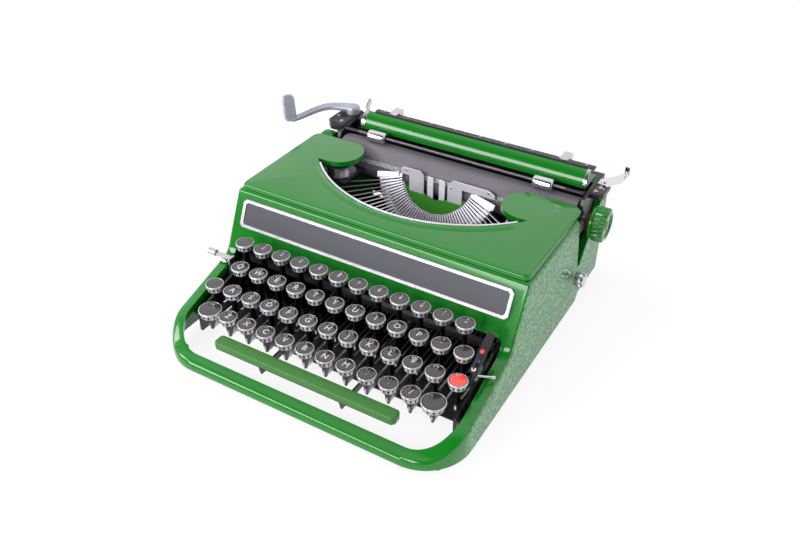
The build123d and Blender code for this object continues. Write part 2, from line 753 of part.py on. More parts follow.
def line_scale():
    """Curved sight strip just in front of the platen."""
    low = carriage_x(-PLATEN_LENGTH / 2 - 2)
    high = carriage_x(PLATEN_LENGTH / 2 + 2)
    outer = rod_x(SCALE_REACH, low, high, PLATEN_BACK, PLATEN_UP)
    inner = rod_x(SCALE_REACH - 0.7, low, high, PLATEN_BACK, PLATEN_UP)
    points = [(0, 0)]
    for degrees in SCALE_ARC:
        turn = math.radians(degrees)
        points.append((-40 * math.cos(turn), 40 * math.sin(turn)))
    wedge = side_prism([(PLATEN_BACK + y, PLATEN_UP + z) for y, z in points], low, high)
    return (outer - inner) & wedge


def across(inset):
    """Both ends of a piece that is set in from the carriage's ends."""
    return carriage_x(-END_HALF + inset[0]), carriage_x(END_HALF + inset[1])


def paper_table():
    """Curved rest behind the platen, on a foot along the beam."""
    low, high = across(TABLE_INSET)
    top = BEAM_UP + BEAM_HEIGHT
    outside = [(266, top), (268.4, 118.2), (275, TABLE_TOP)]
    inside = [(276.6, TABLE_TOP), (269.7, 117.6), (267.6, top + 1.2)]
    edge = [(low, y, z) for y, z in yz(outside)]
    back_edge = [(low, y, z) for y, z in yz(inside)]
    foot = [(low, y, z) for y, z in yz([(292, top + 1.2), (292, top)])]
    lines = ThreePointArc(*edge) + Line(edge[-1], back_edge[0]) + ThreePointArc(*back_edge)
    lines += Polyline(back_edge[-1], foot[0], foot[1], edge[0])
    return extrude(make_face(lines), amount=high - low, dir=(1, 0, 0))


def margin_scale():
    low, high = across(SCALE_INSET)
    bar = block(low, high, 275, 280.5, TABLE_TOP, TABLE_TOP + 2)
    return chamfer(bar.edges().filter_by(Axis.X).group_by(Axis.Z)[-1], 0.4)


def margin_stop(x):
    """Stop that grips the margin bar from behind."""
    points = [
        (275.5, TABLE_TOP + 2.3), (275.5, TABLE_TOP + 3.8), (288, TABLE_TOP + 4.3), (289, TABLE_TOP - 2),
        (280, TABLE_TOP - 2), (278, TABLE_TOP - 0.3), (280.8, TABLE_TOP - 0.3), (280.8, TABLE_TOP + 2.3),
    ]
    return side_prism(points, x - 4, x + 4)


def paper_bail():
    """Rod across the platen on two arms, with its loose rollers."""
    low = carriage_x(-END_HALF + 0.4)
    high = carriage_x(END_HALF - 0.4)
    rod = rod_x(BAIL_ROD, low, high, BAIL_BACK, BAIL_UP)
    points = [
        (BAIL_BACK - 2.2, BAIL_UP + 0.5), (BAIL_BACK + 0.5, BAIL_UP + 2.5), (BAIL_PIVOT[0] + 2, BAIL_PIVOT[1] + 3),
        (BAIL_PIVOT[0] + 3, BAIL_PIVOT[1] - 1), (BAIL_PIVOT[0], BAIL_PIVOT[1] - 2.4), (BAIL_BACK - 1, BAIL_UP - 2),
    ]
    for x_low, pin_low in ((low, low), (high - 1.2, high - 2.8)):
        rod += side_prism(points, x_low, x_low + 1.2)
        rod += rod_x(2.2, pin_low, pin_low + 2.8, *BAIL_PIVOT)
    return rod


def bail_roller(x):
    spot = Plane(origin=(x - 9.5, back(BAIL_BACK), BAIL_UP), x_dir=(0, 1, 0), z_dir=(1, 0, 0))
    roller = polygon(BAIL_ROLLER, 14, 19, spot)
    return roller - rod_x(BAIL_ROD + RUNNING, x - 10, x + 10, BAIL_BACK, BAIL_UP)


def plan_plate(points, low, high):
    """A flat plate drawn from above, given X and distance from the front."""
    outline = Polyline(*[(x, back(y), low) for x, y in points], close=True)
    return extrude(make_face(outline), amount=high - low)


def carriage_caps():
    """Castings at both ends of the beam."""
    low = carriage_x(-END_HALF - END_PLATE)
    high = carriage_x(END_HALF + END_PLATE)
    left = plan_plate([(low, 258), (low, 296), (low - 12, 296), (low - 20, 288), (low - 20, 264), (low - 14, 258)],
                      104.2, 112)
    left = chamfer(left.edges().group_by(Axis.Z)[-1], 1.2)
    right = plan_plate([(high, 262), (high, 290), (high + 8, 290), (high + 11, 285), (high + 11, 266), (high + 8, 262)],
                       104.5, BEAM_UP + BEAM_HEIGHT)
    right = chamfer(right.edges().group_by(Axis.Z)[-1], 0.8)
    return left, right


def lever_pin():
    return carriage_x(-END_HALF - LEVER_PIN_OUT), LEVER_PIN_BACK


def return_lever():
    """Long bowed lever turned by hand, its paddle standing up at the end."""
    x, y = lever_pin()
    hub = polygon(7, 18, 8, Pos(x, back(y), 112.3))
    outer = ThreePointArc((x, back(y + 5), 0), (x - 30, back(y - 7), 0), (x - 46, back(y - 38), 0))
    inner = ThreePointArc((x - 40, back(y - 42), 0), (x - 25, back(y - 17), 0), (x, back(y - 5), 0))
    sides = Line(outer @ 1, inner @ 0) + Line(inner @ 1, outer @ 0)
    face = make_face(outer.edges() + sides.edges() + inner.edges())
    arm = Pos(0, 0, 113.5) * extrude(face, amount=3.5)
    paddle = [(x - 40, y - 37), (x - 46, y - 33), (x - 57, y - 42), (x - 51, y - 47)]
    blade = plan_plate(paddle, 108.5, 136)
    blade = chamfer(blade.edges().filter_by(Axis.Z), 1.5)
    return hub + arm + blade


def release_pin():
    return carriage_x(END_HALF + END_PLATE) + 5, 282.5


def carriage_release():
    """Flat lever by the right knob with its tip turned up."""
    x = carriage_x(END_HALF + END_PLATE)
    low = BEAM_UP + BEAM_HEIGHT + REST_GAP
    plate = plan_plate([(x + 1, 278), (x + 1, 286), (x + 12, 299), (x + 16, 308), (x + 20, 307),
                        (x + 18, 290), (x + 9, 277)], low, low + 1.6)
    tip = plan_plate([(x + 16, 308), (x + 20, 307), (x + 19.6, 305.4), (x + 15.4, 306.4)], low, low + 8)
    pin_x, pin_y = release_pin()
    return plate + tip + Pos(pin_x, back(pin_y), low) * extrude(Circle(2.4), amount=2.8)


def paper_release_pin():
    return 284.0, 113.2


def paper_release():
    """Hooked lever at the left end of the paper table."""
    points = [
        (282, 114), (286, 112.5), (288, 116), (286, 121), (291, 127), (288.5, 130.5),
        (283, 126.5), (279, 120), (280, 115),
    ]
    x = across(TABLE_INSET)[0]
    return side_prism(points, x - 4, x - 2.4) + rod_x(2.8, x - 4, x - 2.4, *paper_release_pin())


def touch_lever():
    """Small lever that reaches over the left rim."""
    x = -CHASSIS_HALF - REST_GAP
    lever = block(x - 2, x, TOUCH_BACK - 3.5, TOUCH_BACK + 3.5, 33, 52)
    lever += block(-HALF_WIDTH - 6, x, TOUCH_BACK - 2, TOUCH_BACK + 2, 50, 52)
    lever += rod_x(2.6, x - 3.2, x, TOUCH_BACK, 38)
    spot = Plane(origin=(-HALF_WIDTH - 11, back(TOUCH_BACK), 51), x_dir=(0, 1, 0), z_dir=(1, 0, 0))
    return lever + polygon(3, 14, 8, spot)


def ribbon_selector():
    """Colour selector at the right of the keyboard: plate and little lever."""
    x = CHASSIS_HALF
    plate = side_prism([(62, 26), (62, 52), (86, 58), (86, 31)], x, x + 1.2)
    near = x + 1.2 + REST_GAP
    lever = side_prism([(66, 46), (66, 50), (78, 53), (78, 49)], near, x + 2.7)
    lever += rod_x(1.8, near, x + 3.4, 67.8, 48.2)
    return plate, lever


def side_knob():
    """Knurled knob outside the right wall, its collar inside."""
    spot = Plane(origin=(HALF_WIDTH + 3.5, back(SIDE_KNOB[0]), SIDE_KNOB[1]), x_dir=(0, 1, 0), z_dir=(1, 0, 0))
    knob_part = spot * extrude(toothed(6.6, 0.5, 18), amount=9)
    knob_part += rod_x(2.5, HALF_WIDTH - 4, HALF_WIDTH + 4, *SIDE_KNOB)
    collar = Plane(origin=(HALF_WIDTH - 4, back(SIDE_KNOB[0]), SIDE_KNOB[1]), x_dir=(0, 1, 0), z_dir=(1, 0, 0))
    return knob_part + polygon(4.5, 12, 4 - WALL - REST_GAP, collar)


def middle_x():
    """X halfway between the outermost pieces, where the origin is put."""
    low = return_lever().bounding_box().min.X
    high = platen()[2].bounding_box().max.X
    return (low + high) / 2


ORIGIN_X = middle_x()


def save_keys():
    """One node per row of typing keys; the home row's keys on their own."""
    rows = {1: [], 2: [], 3: [], 4: []}
    for row, y, z, x in typing_keys():
        rows[row].append(key(x, y, z, KEY_RADIUS))
    for index, cap in enumerate(rows[3]):
        save("home_key_{:02d}".format(index + 1), cap)
    save("number_row_keys", *rows[1])
    save("upper_row_keys", *rows[2])
    save("lower_row_keys", *rows[4])
    for name, (row, y, z, x, radius) in function_keys().items():
        save(name, key(x, y, z, radius))
    save("space_bar", space_bar())


def save_machine():
    shell = case_shell()
    shell -= rod_x(2.5 + RUNNING, HALF_WIDTH - 5, HALF_WIDTH + 5, SIDE_KNOB[0], SIDE_KNOB[1])
    save("case_shell", shell)
    save("rubber_feet", *rubber_feet())
    frame, plate = nameplate()
    save("nameplate_frame", frame)
    save("nameplate_panel", plate)
    save("bottom_plate", bottom_plate())
    save("chassis", chassis())
    comb, shaft = lever_comb()
    save("lever_comb", comb, shaft)
    save("typebar_segment", typebar_segment())
    save("segment_cover", segment_cover())
    resting, moving = typebars()
    save("typebars", *resting)
    save("typebar_moving", moving)
    save("type_guide", type_guide())
    save("ribbon_vibrator", ribbon_vibrator())
    save("ribbon_spool_left", ribbon_spool(-1))
    save("ribbon_spool_right", ribbon_spool(1))
    save("carriage_rail", carriage_rail())
    save("top_cover", top_cover())
    save("mouth_trim", mouth_trim())
    save("touch_lever", touch_lever())
    plate, lever = ribbon_selector()
    save("selector_plate", plate)
    save("ribbon_selector", lever)
    save("side_knob", side_knob())


def save_carriage():
    save("carriage_frame", carriage_frame())
    left, right = carriage_caps()
    save("carriage_cap_left", left)
    save("carriage_cap_right", right)
    roller, knob_left, knob_right = platen()
    save("platen_roller", roller)
    save("knob_left", knob_left)
    save("knob_right", knob_right)
    save("line_scale", line_scale())
    save("paper_table", paper_table())
    save("margin_scale", margin_scale())
    low, high = across(SCALE_INSET)
    save("margin_stop_left", margin_stop(low + STOP_INSET[0]))
    save("margin_stop_right", margin_stop(high - STOP_INSET[1]))
    save("paper_bail", paper_bail())
    save("bail_roller_left", bail_roller(carriage_x(-BAIL_ROLLER_X)))
    save("bail_roller_right", bail_roller(carriage_x(BAIL_ROLLER_X)))
    save("return_lever", return_lever())
    save("carriage_release", carriage_release())
    save("paper_release", paper_release())


def main():
    os.makedirs("parts", exist_ok=True)
    save_keys()
    save_machine()
    save_carriage()


if __name__ == "__main__":
    main()
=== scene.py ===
"""Portable manual typewriter: finishes, key tops, lettering, carriage fittings and
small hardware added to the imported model. All lengths are metres, except where a
helper says that it takes millimetres."""
import json
import math

import bpy
import numpy as np
from mathutils import Matrix, Vector

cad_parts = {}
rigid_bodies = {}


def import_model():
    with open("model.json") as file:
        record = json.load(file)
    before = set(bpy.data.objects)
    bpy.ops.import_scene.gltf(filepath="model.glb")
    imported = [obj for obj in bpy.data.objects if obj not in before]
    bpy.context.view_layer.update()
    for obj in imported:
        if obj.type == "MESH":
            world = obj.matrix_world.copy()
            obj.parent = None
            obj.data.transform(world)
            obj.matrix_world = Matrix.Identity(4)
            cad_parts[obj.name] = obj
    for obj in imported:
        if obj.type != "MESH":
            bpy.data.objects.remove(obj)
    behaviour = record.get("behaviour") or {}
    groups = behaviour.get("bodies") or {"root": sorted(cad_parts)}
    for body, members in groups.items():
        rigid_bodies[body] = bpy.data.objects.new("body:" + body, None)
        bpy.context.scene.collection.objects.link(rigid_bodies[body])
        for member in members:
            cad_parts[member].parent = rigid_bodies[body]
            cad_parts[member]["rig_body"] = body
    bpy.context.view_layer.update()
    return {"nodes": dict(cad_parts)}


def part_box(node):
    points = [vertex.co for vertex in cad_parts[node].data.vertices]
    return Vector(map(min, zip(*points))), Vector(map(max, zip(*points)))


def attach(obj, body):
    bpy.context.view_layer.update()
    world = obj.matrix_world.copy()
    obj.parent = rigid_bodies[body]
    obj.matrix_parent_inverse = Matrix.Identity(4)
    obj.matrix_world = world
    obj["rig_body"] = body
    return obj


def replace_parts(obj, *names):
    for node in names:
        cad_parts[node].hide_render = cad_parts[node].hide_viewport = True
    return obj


bl_info = {
    "name": "Manual typewriter",
    "version": (1, 0, 0),
    "blender": (4, 5, 0),
    "location": "3D View > Sidebar > Typewriter",
    "description": "Builds the surfaces and finishes of a portable manual typewriter",
    "category": "Object",
}

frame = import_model()
NODES = frame["nodes"]
HOME_KEYS = sorted(name for name in NODES if name.startswith("home_key_"))
CASE_LOW, CASE_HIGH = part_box("case_shell")
MIDDLE_X = (CASE_LOW[0] + CASE_HIGH[0]) / 2
FRONT_Y = CASE_LOW[1]
CASE_HALF = (CASE_HIGH[0] - CASE_LOW[0]) / 2
SCALE_LOW, SCALE_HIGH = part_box("line_scale")
CARRIAGE_X = (SCALE_LOW[0] + SCALE_HIGH[0]) / 2
PLATEN_HALF = 0.12
PLATEN_END_RADIUS = 0.011
PANEL_RUN, PANEL_RISE = 25.5, 53.0
BEAD_STEP = 0.00095
SCALE_TURN = math.radians(21)
SCALE_REACH = 0.01886
BAIL_ROD_HEIGHT = 0.1104
KNOB_RIBS, KNOB_RIB_DEPTH = 28, 0.0009
SIDE_KNOB_RIBS, SIDE_KNOB_RIB_DEPTH = 32, 0.0006
CUP_CORNERS = 12
CUP_TAPER = math.radians(11)
FILL_LIGHT = 0.5
CAMERA_PLACE = (0.32229, -0.51742, 0.48321)
CAMERA_TARGET = (0.02538, -0.01054, 0.060)
CAMERA_ROLL = math.radians(0.23)


def colour_of(code):
    """Linear colour of a six-digit screen colour."""
    values = [int(code[i:i + 2], 16) / 255 for i in (0, 2, 4)]
    linear = [v / 12.92 if v <= 0.04045 else ((v + 0.055) / 1.055) ** 2.4 for v in values]
    return tuple(linear)


def colour_property(name, description, code):
    return bpy.props.FloatVectorProperty(
        name=name, description=description, subtype="COLOR", size=3, min=0, max=1, default=colour_of(code)
    )


def length_property(name, description, value):
    return bpy.props.FloatProperty(name=name, description=description, default=value, min=0, unit="LENGTH")


class TYPEWRITER_PG_finish(bpy.types.PropertyGroup):
    """Colours of the painted, moulded and metal parts."""
    paint: colour_property("Paint", "Gloss enamel of case and cover", "006b10")
    # Pale crinkle colour: the side walls' green paint lightened with a painted reflection of white light.
    crinkle: colour_property("Crinkle paint", "Textured paint on the case's side walls", "7fb488")
    crescent: colour_property("Crescent", "Paint of the plate inside the segment", "2a7519")
    slate: colour_property("Slate", "Plain plate across the front", "36363f")
    bright: colour_property("Bright metal", "Chromed trims and levers", "e2e0e6")
    steel: colour_property("Steel", "Typebars and small steel parts", "d2ced8")
    dull: colour_property("Dull metal", "Cups of the keys", "cbc8ce")
    cast: colour_property("Cast alloy", "Return lever's casting", "a6a9b4")
    black: colour_property("Black", "Stove enamel of frame and levers", "17131a")
    rubber: colour_property("Rubber", "Platen", "656068")
    key_face: colour_property("Key face", "Face under the key's glassy top", "2a2226")
    letter: colour_property("Letter", "Lettering on the keys", "d4d0d8")
    space: colour_property("Space bar", "Moulding of the space bar", "2a661f")
    tab: colour_property("Tab key", "The one key of another colour", "ee3b32")
    collar: colour_property("Collar", "Fibre collar on the platen shaft", "6b2a20")
    floor: colour_property("Floor", "Pale floor under the typewriter", "f4f4f4")


class TYPEWRITER_PG_sizes(bpy.types.PropertyGroup):
    """Sizes of the pieces that are made here."""
    key_rim: length_property("Key rim", "Width of the bright ring round a key", 0.0011)
    key_skin: length_property("Key skin", "How far the smooth cup stands outside the solid one", 0.00006)
    letter_height: length_property("Letter height", "Height of the large letters", 0.0056)
    tick: length_property("Tick", "Distance from tick to tick on the scales", 0.00127)
    bead: length_property("Bead", "Radius of the beads along the nameplate", 0.00042)


def settings():
    return bpy.context.scene.typewriter_finish, bpy.context.scene.typewriter_sizes


def spot(x, distance, height):
    """Point of the frame from millimetres right of the case's middle, behind its
    front edge and above the table."""
    return np.array([MIDDLE_X + x / 1000, FRONT_Y + distance / 1000, height / 1000])


# Materials

def input_socket(group, name, kind, value=None):
    socket = group.interface.new_socket(name=name, in_out="INPUT", socket_type=kind)
    if value is not None:
        socket.default_value = value


def maths(nodes, links, operation, *values):
    node = nodes.new("ShaderNodeMath")
    node.operation = operation
    for index, value in enumerate(values):
        if isinstance(value, (int, float)):
            node.inputs[index].default_value = value
        else:
            links.new(value, node.inputs[index])
    return node.outputs[0]


def grain_group():
    """Fine surface unevenness: fine noise gives a height; broad noise makes the
    colour and the roughness patchy by the given shares."""
    group = bpy.data.node_groups.get("surface grain")
    if group:
        return group
    group = bpy.data.node_groups.new("surface grain", "ShaderNodeTree")
    input_socket(group, "Scale", "NodeSocketFloat", 400.0)
    input_socket(group, "Colour", "NodeSocketColor")
    input_socket(group, "Variation", "NodeSocketFloat", 0.1)
    input_socket(group, "Roughness", "NodeSocketFloat", 0.3)
    input_socket(group, "Roughness variation", "NodeSocketFloat", 0.1)
    for name, kind in (
        ("Colour", "NodeSocketColor"), ("Roughness", "NodeSocketFloat"), ("Height", "NodeSocketFloat"),
    ):
        group.interface.new_socket(name=name, in_out="OUTPUT", socket_type=kind)
    nodes, links = group.nodes, group.links
    source = nodes.new("NodeGroupInput")
    result = nodes.new("NodeGroupOutput")
    place = nodes.new("ShaderNodeTexCoord")
    fine = nodes.new("ShaderNodeTexNoise")
    broad = nodes.new("ShaderNodeTexNoise")
    broad.inputs["Scale"].default_value = 34
    broad.inputs["Detail"].default_value = 4
    links.new(place.outputs["Object"], fine.inputs["Vector"])
    links.new(place.outputs["Object"], broad.inputs["Vector"])
    links.new(source.outputs["Scale"], fine.inputs["Scale"])
    centred = maths(nodes, links, "SUBTRACT", broad.outputs["Fac"], 0.5)
    shade = maths(nodes, links, "MULTIPLY_ADD", centred, source.outputs["Variation"], 1.0)
    rough = maths(
        nodes, links, "MULTIPLY_ADD", centred, source.outputs["Roughness variation"],
        source.outputs["Roughness"],
    )
    tint = nodes.new("ShaderNodeVectorMath")
    tint.operation = "SCALE"
    links.new(source.outputs["Colour"], tint.inputs[0])
    links.new(shade, tint.inputs["Scale"])
    links.new(tint.outputs[0], result.inputs["Colour"])
    links.new(rough, result.inputs["Roughness"])
    links.new(fine.outputs["Fac"], result.inputs["Height"])
    return group


def material(name, colour, roughness=0.3, metallic=0.0, coat=0.0, specular=0.5, scale=400.0, bump=0.1,
             variation=0.12, rough_variation=0.12):
    """A Principled surface whose colour, roughness and bump come from the grain group."""
    found = bpy.data.materials.get(name)
    if found:
        return found
    made = bpy.data.materials.new(name)
    made.use_nodes = True
    nodes, links = made.node_tree.nodes, made.node_tree.links
    shader = nodes["Principled BSDF"]
    grain = nodes.new("ShaderNodeGroup")
    grain.name = "grain"
    grain.node_tree = grain_group()
    grain.inputs["Scale"].default_value = scale
    grain.inputs["Colour"].default_value = (*colour, 1)
    grain.inputs["Variation"].default_value = variation
    grain.inputs["Roughness"].default_value = roughness
    grain.inputs["Roughness variation"].default_value = rough_variation
    links.new(grain.outputs["Colour"], shader.inputs["Base Color"])
    links.new(grain.outputs["Roughness"], shader.inputs["Roughness"])
    shader.inputs["Metallic"].default_value = metallic
    shader.inputs["Coat Weight"].default_value = coat
    shader.inputs["Coat Roughness"].default_value = 0.05
    shader.inputs["Specular IOR Level"].default_value = specular
    relief = nodes.new("ShaderNodeBump")
    relief.name = "relief"
    relief.inputs["Strength"].default_value = bump
    relief.inputs["Distance"].default_value = 0.0001
    links.new(grain.outputs["Height"], relief.inputs["Height"])
    links.new(relief.outputs["Normal"], shader.inputs["Normal"])
    return made


def blend_colours(nodes, links, share, first, second):
    mix = nodes.new("ShaderNodeMix")
    mix.data_type = "RGBA"
    links.new(share, mix.inputs["Factor"])
    for socket, value in ((mix.inputs[6], first), (mix.inputs[7], second)):
        if isinstance(value, tuple):
            socket.default_value = (*value, 1)
        else:
            links.new(value, socket)
    return mix.outputs[2]


def blend_values(nodes, links, share, first, second):
    mix = nodes.new("ShaderNodeMix")
    mix.data_type = "FLOAT"
    links.new(share, mix.inputs["Factor"])
    for socket, value in ((mix.inputs[2], first), (mix.inputs[3], second)):
        if isinstance(value, float):
            socket.default_value = value
        else:
            links.new(value, socket)
    return mix.outputs[0]


def ramp(nodes, links, value, low, high):
    node = nodes.new("ShaderNodeMapRange")
    node.interpolation_type = "SMOOTHSTEP"
    node.inputs["From Min"].default_value = low
    node.inputs["From Max"].default_value = high
    links.new(value, node.inputs["Value"])
    return node.outputs["Result"]


def object_axis(nodes, links, axis):
    place = nodes.new("ShaderNodeTexCoord")
    parts = nodes.new("ShaderNodeSeparateXYZ")
    links.new(place.outputs["Object"], parts.inputs[0])
    return parts.outputs[axis]


def case_enamel():
    """Gloss enamel on the case, with crinkle paint on the two side walls: the mask is how far a point lies from
    the case's middle. On the side walls the green paint is lightened by a painted reflection of white light,
    and the crinkle's hollows are darkened with painted shade."""
    finish, _ = settings()
    made = material("case enamel", finish.paint, 0.2, coat=0.75, specular=0.35, scale=900, bump=0.03)
    nodes, links = made.node_tree.nodes, made.node_tree.links
    shader, grain, relief = nodes["Principled BSDF"], nodes["grain"], nodes["relief"]
    if nodes.get("crinkle"):
        return made
    offset = maths(nodes, links, "SUBTRACT", object_axis(nodes, links, 0), MIDDLE_X)
    away = maths(nodes, links, "ABSOLUTE", offset)
    side = ramp(nodes, links, away, CASE_HALF - 0.0011, CASE_HALF - 0.0005)
    place = nodes.new("ShaderNodeTexCoord")
    crinkle = nodes.new("ShaderNodeTexVoronoi")
    crinkle.name = "crinkle"
    crinkle.feature = "SMOOTH_F1"
    crinkle.inputs["Scale"].default_value = 620
    links.new(place.outputs["Object"], crinkle.inputs["Vector"])
    peaks = ramp(nodes, links, crinkle.outputs["Distance"], 0.15, 0.75)
    # Painted shade in the crinkle's hollows (0.28 of the colour), rising to the pale colour with its painted
    # reflection on the peaks.
    crinkle_shade_and_sheen = blend_colours(nodes, links, peaks, tuple(c * 0.28 for c in finish.crinkle), tuple(finish.crinkle))
    colour = blend_colours(nodes, links, side, grain.outputs["Colour"], crinkle_shade_and_sheen)
    links.new(colour, shader.inputs["Base Color"])
    rough = maths(nodes, links, "MULTIPLY_ADD", side, 0.28, grain.outputs["Roughness"])
    links.new(rough, shader.inputs["Roughness"])
    links.new(maths(nodes, links, "MULTIPLY_ADD", side, -0.6, 0.75), shader.inputs["Coat Weight"])
    height = maths(nodes, links, "MULTIPLY", side, crinkle.outputs["Distance"])
    relief.inputs["Strength"].default_value = 1.0
    relief.inputs["Distance"].default_value = 0.00042
    relief_height = maths(nodes, links, "MULTIPLY_ADD", grain.outputs["Height"], 0.006, height)
    links.new(relief_height, relief.inputs["Height"])
    return made


def lever_metal():
    """Steel key levers: steel-coloured on the flats in front and black on the stems, with painted shade that
    darkens them to black towards the back, where they lie in shadow under the keys: the share follows depth and
    height."""
    finish, _ = settings()
    made = material("key lever steel", finish.steel, 0.34, metallic=1.0, scale=1500, bump=0.15, variation=0.3)
    nodes, links = made.node_tree.nodes, made.node_tree.links
    shader, grain = nodes["Principled BSDF"], nodes["grain"]
    # Painted shade: the levers turn black towards the back, standing in for the shadow under the keys.
    back = ramp(nodes, links, object_axis(nodes, links, 1), FRONT_Y + 0.056, FRONT_Y + 0.094)
    stem = ramp(nodes, links, object_axis(nodes, links, 2), 0.0302, 0.0318)
    back_shade_and_black_stems = maths(nodes, links, "MAXIMUM", back, stem)
    colour = blend_colours(nodes, links, back_shade_and_black_stems, grain.outputs["Colour"], (0.012, 0.010, 0.012))
    links.new(colour, shader.inputs["Base Color"])
    return made


# Each finish: its material's name, colour, roughness, metallic, coat, specular, grain
# scale, relief and how far the colour varies.
FINISHES = {
    "paint": ("gloss green enamel", "paint", 0.2, 0.0, 0.75, 0.35, 900, 0.03, 0.12),
    "crescent": ("bright green enamel", "crescent", 0.5, 0.0, 0.0, 0.1, 1600, 0.08, 0.12),
    "knob": ("green knob moulding", "paint", 0.25, 0.0, 0.9, 0.5, 900, 0.04, 0.12),
    "black": ("black stove enamel", "black", 0.4, 0.0, 0.15, 0.5, 1500, 0.12, 0.3),
    "bright": ("bright chrome", "bright", 0.13, 1.0, 0.0, 0.5, 600, 0.02, 0.05),
    "steel": ("brushed steel", "steel", 0.3, 1.0, 0.0, 0.5, 1700, 0.12, 0.25),
    "satin": ("satin plated sheet", "steel", 0.4, 0.3, 0.0, 0.5, 2200, 0.1, 0.2),
    "trim": ("polished trim", "bright", 0.2, 0.5, 0.5, 0.5, 900, 0.03, 0.1),
    "frame": ("nameplate frame plating", "dull", 0.25, 0.85, 0.3, 0.5, 1200, 0.06, 0.2),
    "cast": ("cast lever alloy", "cast", 0.36, 0.55, 0.0, 0.5, 1300, 0.12, 0.3),
    "dull": ("satin aluminium", "dull", 0.3, 0.75, 0.0, 0.5, 2000, 0.08, 0.15),
    "rubber": ("aged platen rubber", "rubber", 0.55, 0.0, 0.0, 0.5, 1800, 0.25, 0.35),
    "foot": ("black foot rubber", "black", 0.7, 0.0, 0.0, 0.5, 1800, 0.3, 0.3),
    "slate": ("slate plate", "slate", 0.36, 0.2, 0.1, 0.5, 3200, 0.12, 0.12),
    "bar": ("space bar moulding", "space", 0.42, 0.0, 0.15, 0.5, 1100, 0.08, 0.12),
    "white": ("white scale print", "letter", 0.5, 0.0, 0.0, 0.5, 900, 0.02, 0.05),
    "collar": ("fibre collar", "collar", 0.5, 0.0, 0.0, 0.5, 1500, 0.2, 0.4),
}


def finishes():
    """Every plain finish by name."""
    finish, _ = settings()
    looks = {
        key: material(name, getattr(finish, colour), *values)
        for key, (name, colour, *values) in FINISHES.items()
    }
    looks["levers"] = lever_metal()
    looks["case"] = case_enamel()
    return looks


# Shapes

def mesh_object(name, points, faces, surface, smooth=True):
    mesh = bpy.data.meshes.new(name)
    mesh.from_pydata([tuple(p) for p in points], [], [tuple(f) for f in faces])
    mesh.update()
    mesh.polygons.foreach_set("use_smooth", [smooth] * len(mesh.polygons))
    mesh.materials.append(surface)
    piece = bpy.data.objects.new(name, mesh)
    bpy.context.scene.collection.objects.link(piece)
    return piece


def crease(piece, degrees=40.0):
    """Sharp edges where two faces meet at more than so many degrees."""
    piece.data.set_sharp_from_angle(angle=math.radians(degrees))
    return piece


def grid_faces(rows, columns, wrap=False):
    """Quads between neighbouring rows and columns of a grid of points."""
    r = np.arange(rows - 1)[:, None]
    c = np.arange(columns if wrap else columns - 1)[None, :]
    a = r * columns + c
    b = r * columns + (c + 1) % columns
    return np.stack([a, b, b + columns, a + columns], axis=-1).reshape(-1, 4)


def stacked(rings):
    """Closed skin over a pile of rings with equally many points: quads join each ring
    to the next, and a small centre point closes each end. Rings run anticlockwise
    seen from the far end, from the near end to the far end."""
    rings = np.asarray(rings, float)
    first = rings[0] * 1e-3 + rings[0].mean(0) * (1 - 1e-3)
    last = rings[-1] * 1e-3 + rings[-1].mean(0) * (1 - 1e-3)
    every = np.concatenate([first[None], rings, last[None]])
    faces = grid_faces(len(every), every.shape[1], wrap=True)
    return every.reshape(-1, 3), faces


AXES = {"x": (1, 2, 0), "y": (2, 0, 1), "z": (0, 1, 2)}


def turned(profile, centre, count=48, axis="z", ribs=0, depth=0.0):
    """Surface of revolution: each profile point (radius, height) sweeps a circle about
    the axis through centre. With ribs, the radius is less by depth times the
    absolute sine of ribs times half the angle."""
    profile = np.asarray(profile, float)
    angle = np.linspace(0, 2 * np.pi, count, endpoint=False)
    radius, height = profile[:, :1], profile[:, 1:2]
    reach = radius - depth * np.abs(np.sin(ribs * angle / 2))[None, :] * (radius > 0.002)
    flat = np.stack([reach * np.cos(angle), reach * np.sin(angle), height + 0 * angle], axis=-1)
    points = np.empty_like(flat)
    for source, target in enumerate(AXES[axis]):
        points[..., target] = flat[..., source]
    return (points + np.asarray(centre)).reshape(-1, 3), grid_faces(len(profile), count, wrap=True)


def joined(pieces):
    """Several (points, faces) pairs as one."""
    points, faces, start = [], [], 0
    for some_points, some_faces in pieces:
        points.append(some_points)
        faces.append(np.asarray(some_faces) + start)
        start += len(some_points)
    return np.concatenate(points), np.concatenate(faces)


def rounded_outline(half_a, half_b, radius, count=8):
    """Rectangle with round corners, anticlockwise: each corner is a quarter circle."""
    turn = np.linspace(0, np.pi / 2, count)
    corner = np.stack([np.cos(turn), np.sin(turn)], axis=-1) * radius
    rings = []
    for quarter, (a, b) in enumerate(((1, 1), (-1, 1), (-1, -1), (1, -1))):
        c, s = round(math.cos(quarter * math.pi / 2)), round(math.sin(quarter * math.pi / 2))
        rotated = np.stack([c * corner[:, 0] - s * corner[:, 1], s * corner[:, 0] + c * corner[:, 1]], axis=-1)
        rings.append(rotated + (a * (half_a - radius), b * (half_b - radius)))
    return np.concatenate(rings)


def pillow(half_a, half_b, radius, length, edge, centre, u, v):
    """Block with rounded outline in the plane of u and v, from centre along their cross
    product for length, its two ends rounded by edge: the outline draws in by
    edge times one less cosine as the height grows by edge times sine."""
    u, v = np.asarray(u, float), np.asarray(v, float)
    w = np.cross(u, v)
    turn = np.linspace(0, np.pi / 2, 5)
    rings = [(edge * (1 - math.sin(t)), edge * (1 - math.cos(t))) for t in turn]
    rings += [(edge * (1 - math.cos(t)), length - edge + edge * math.sin(t)) for t in turn]
    loops = []
    for inset, rise in rings:
        flat = rounded_outline(half_a - inset, half_b - inset, max(radius - inset, 1e-5))
        loops.append(np.asarray(centre) + flat[:, :1] * u + flat[:, 1:] * v + rise * w)
    return stacked(loops)


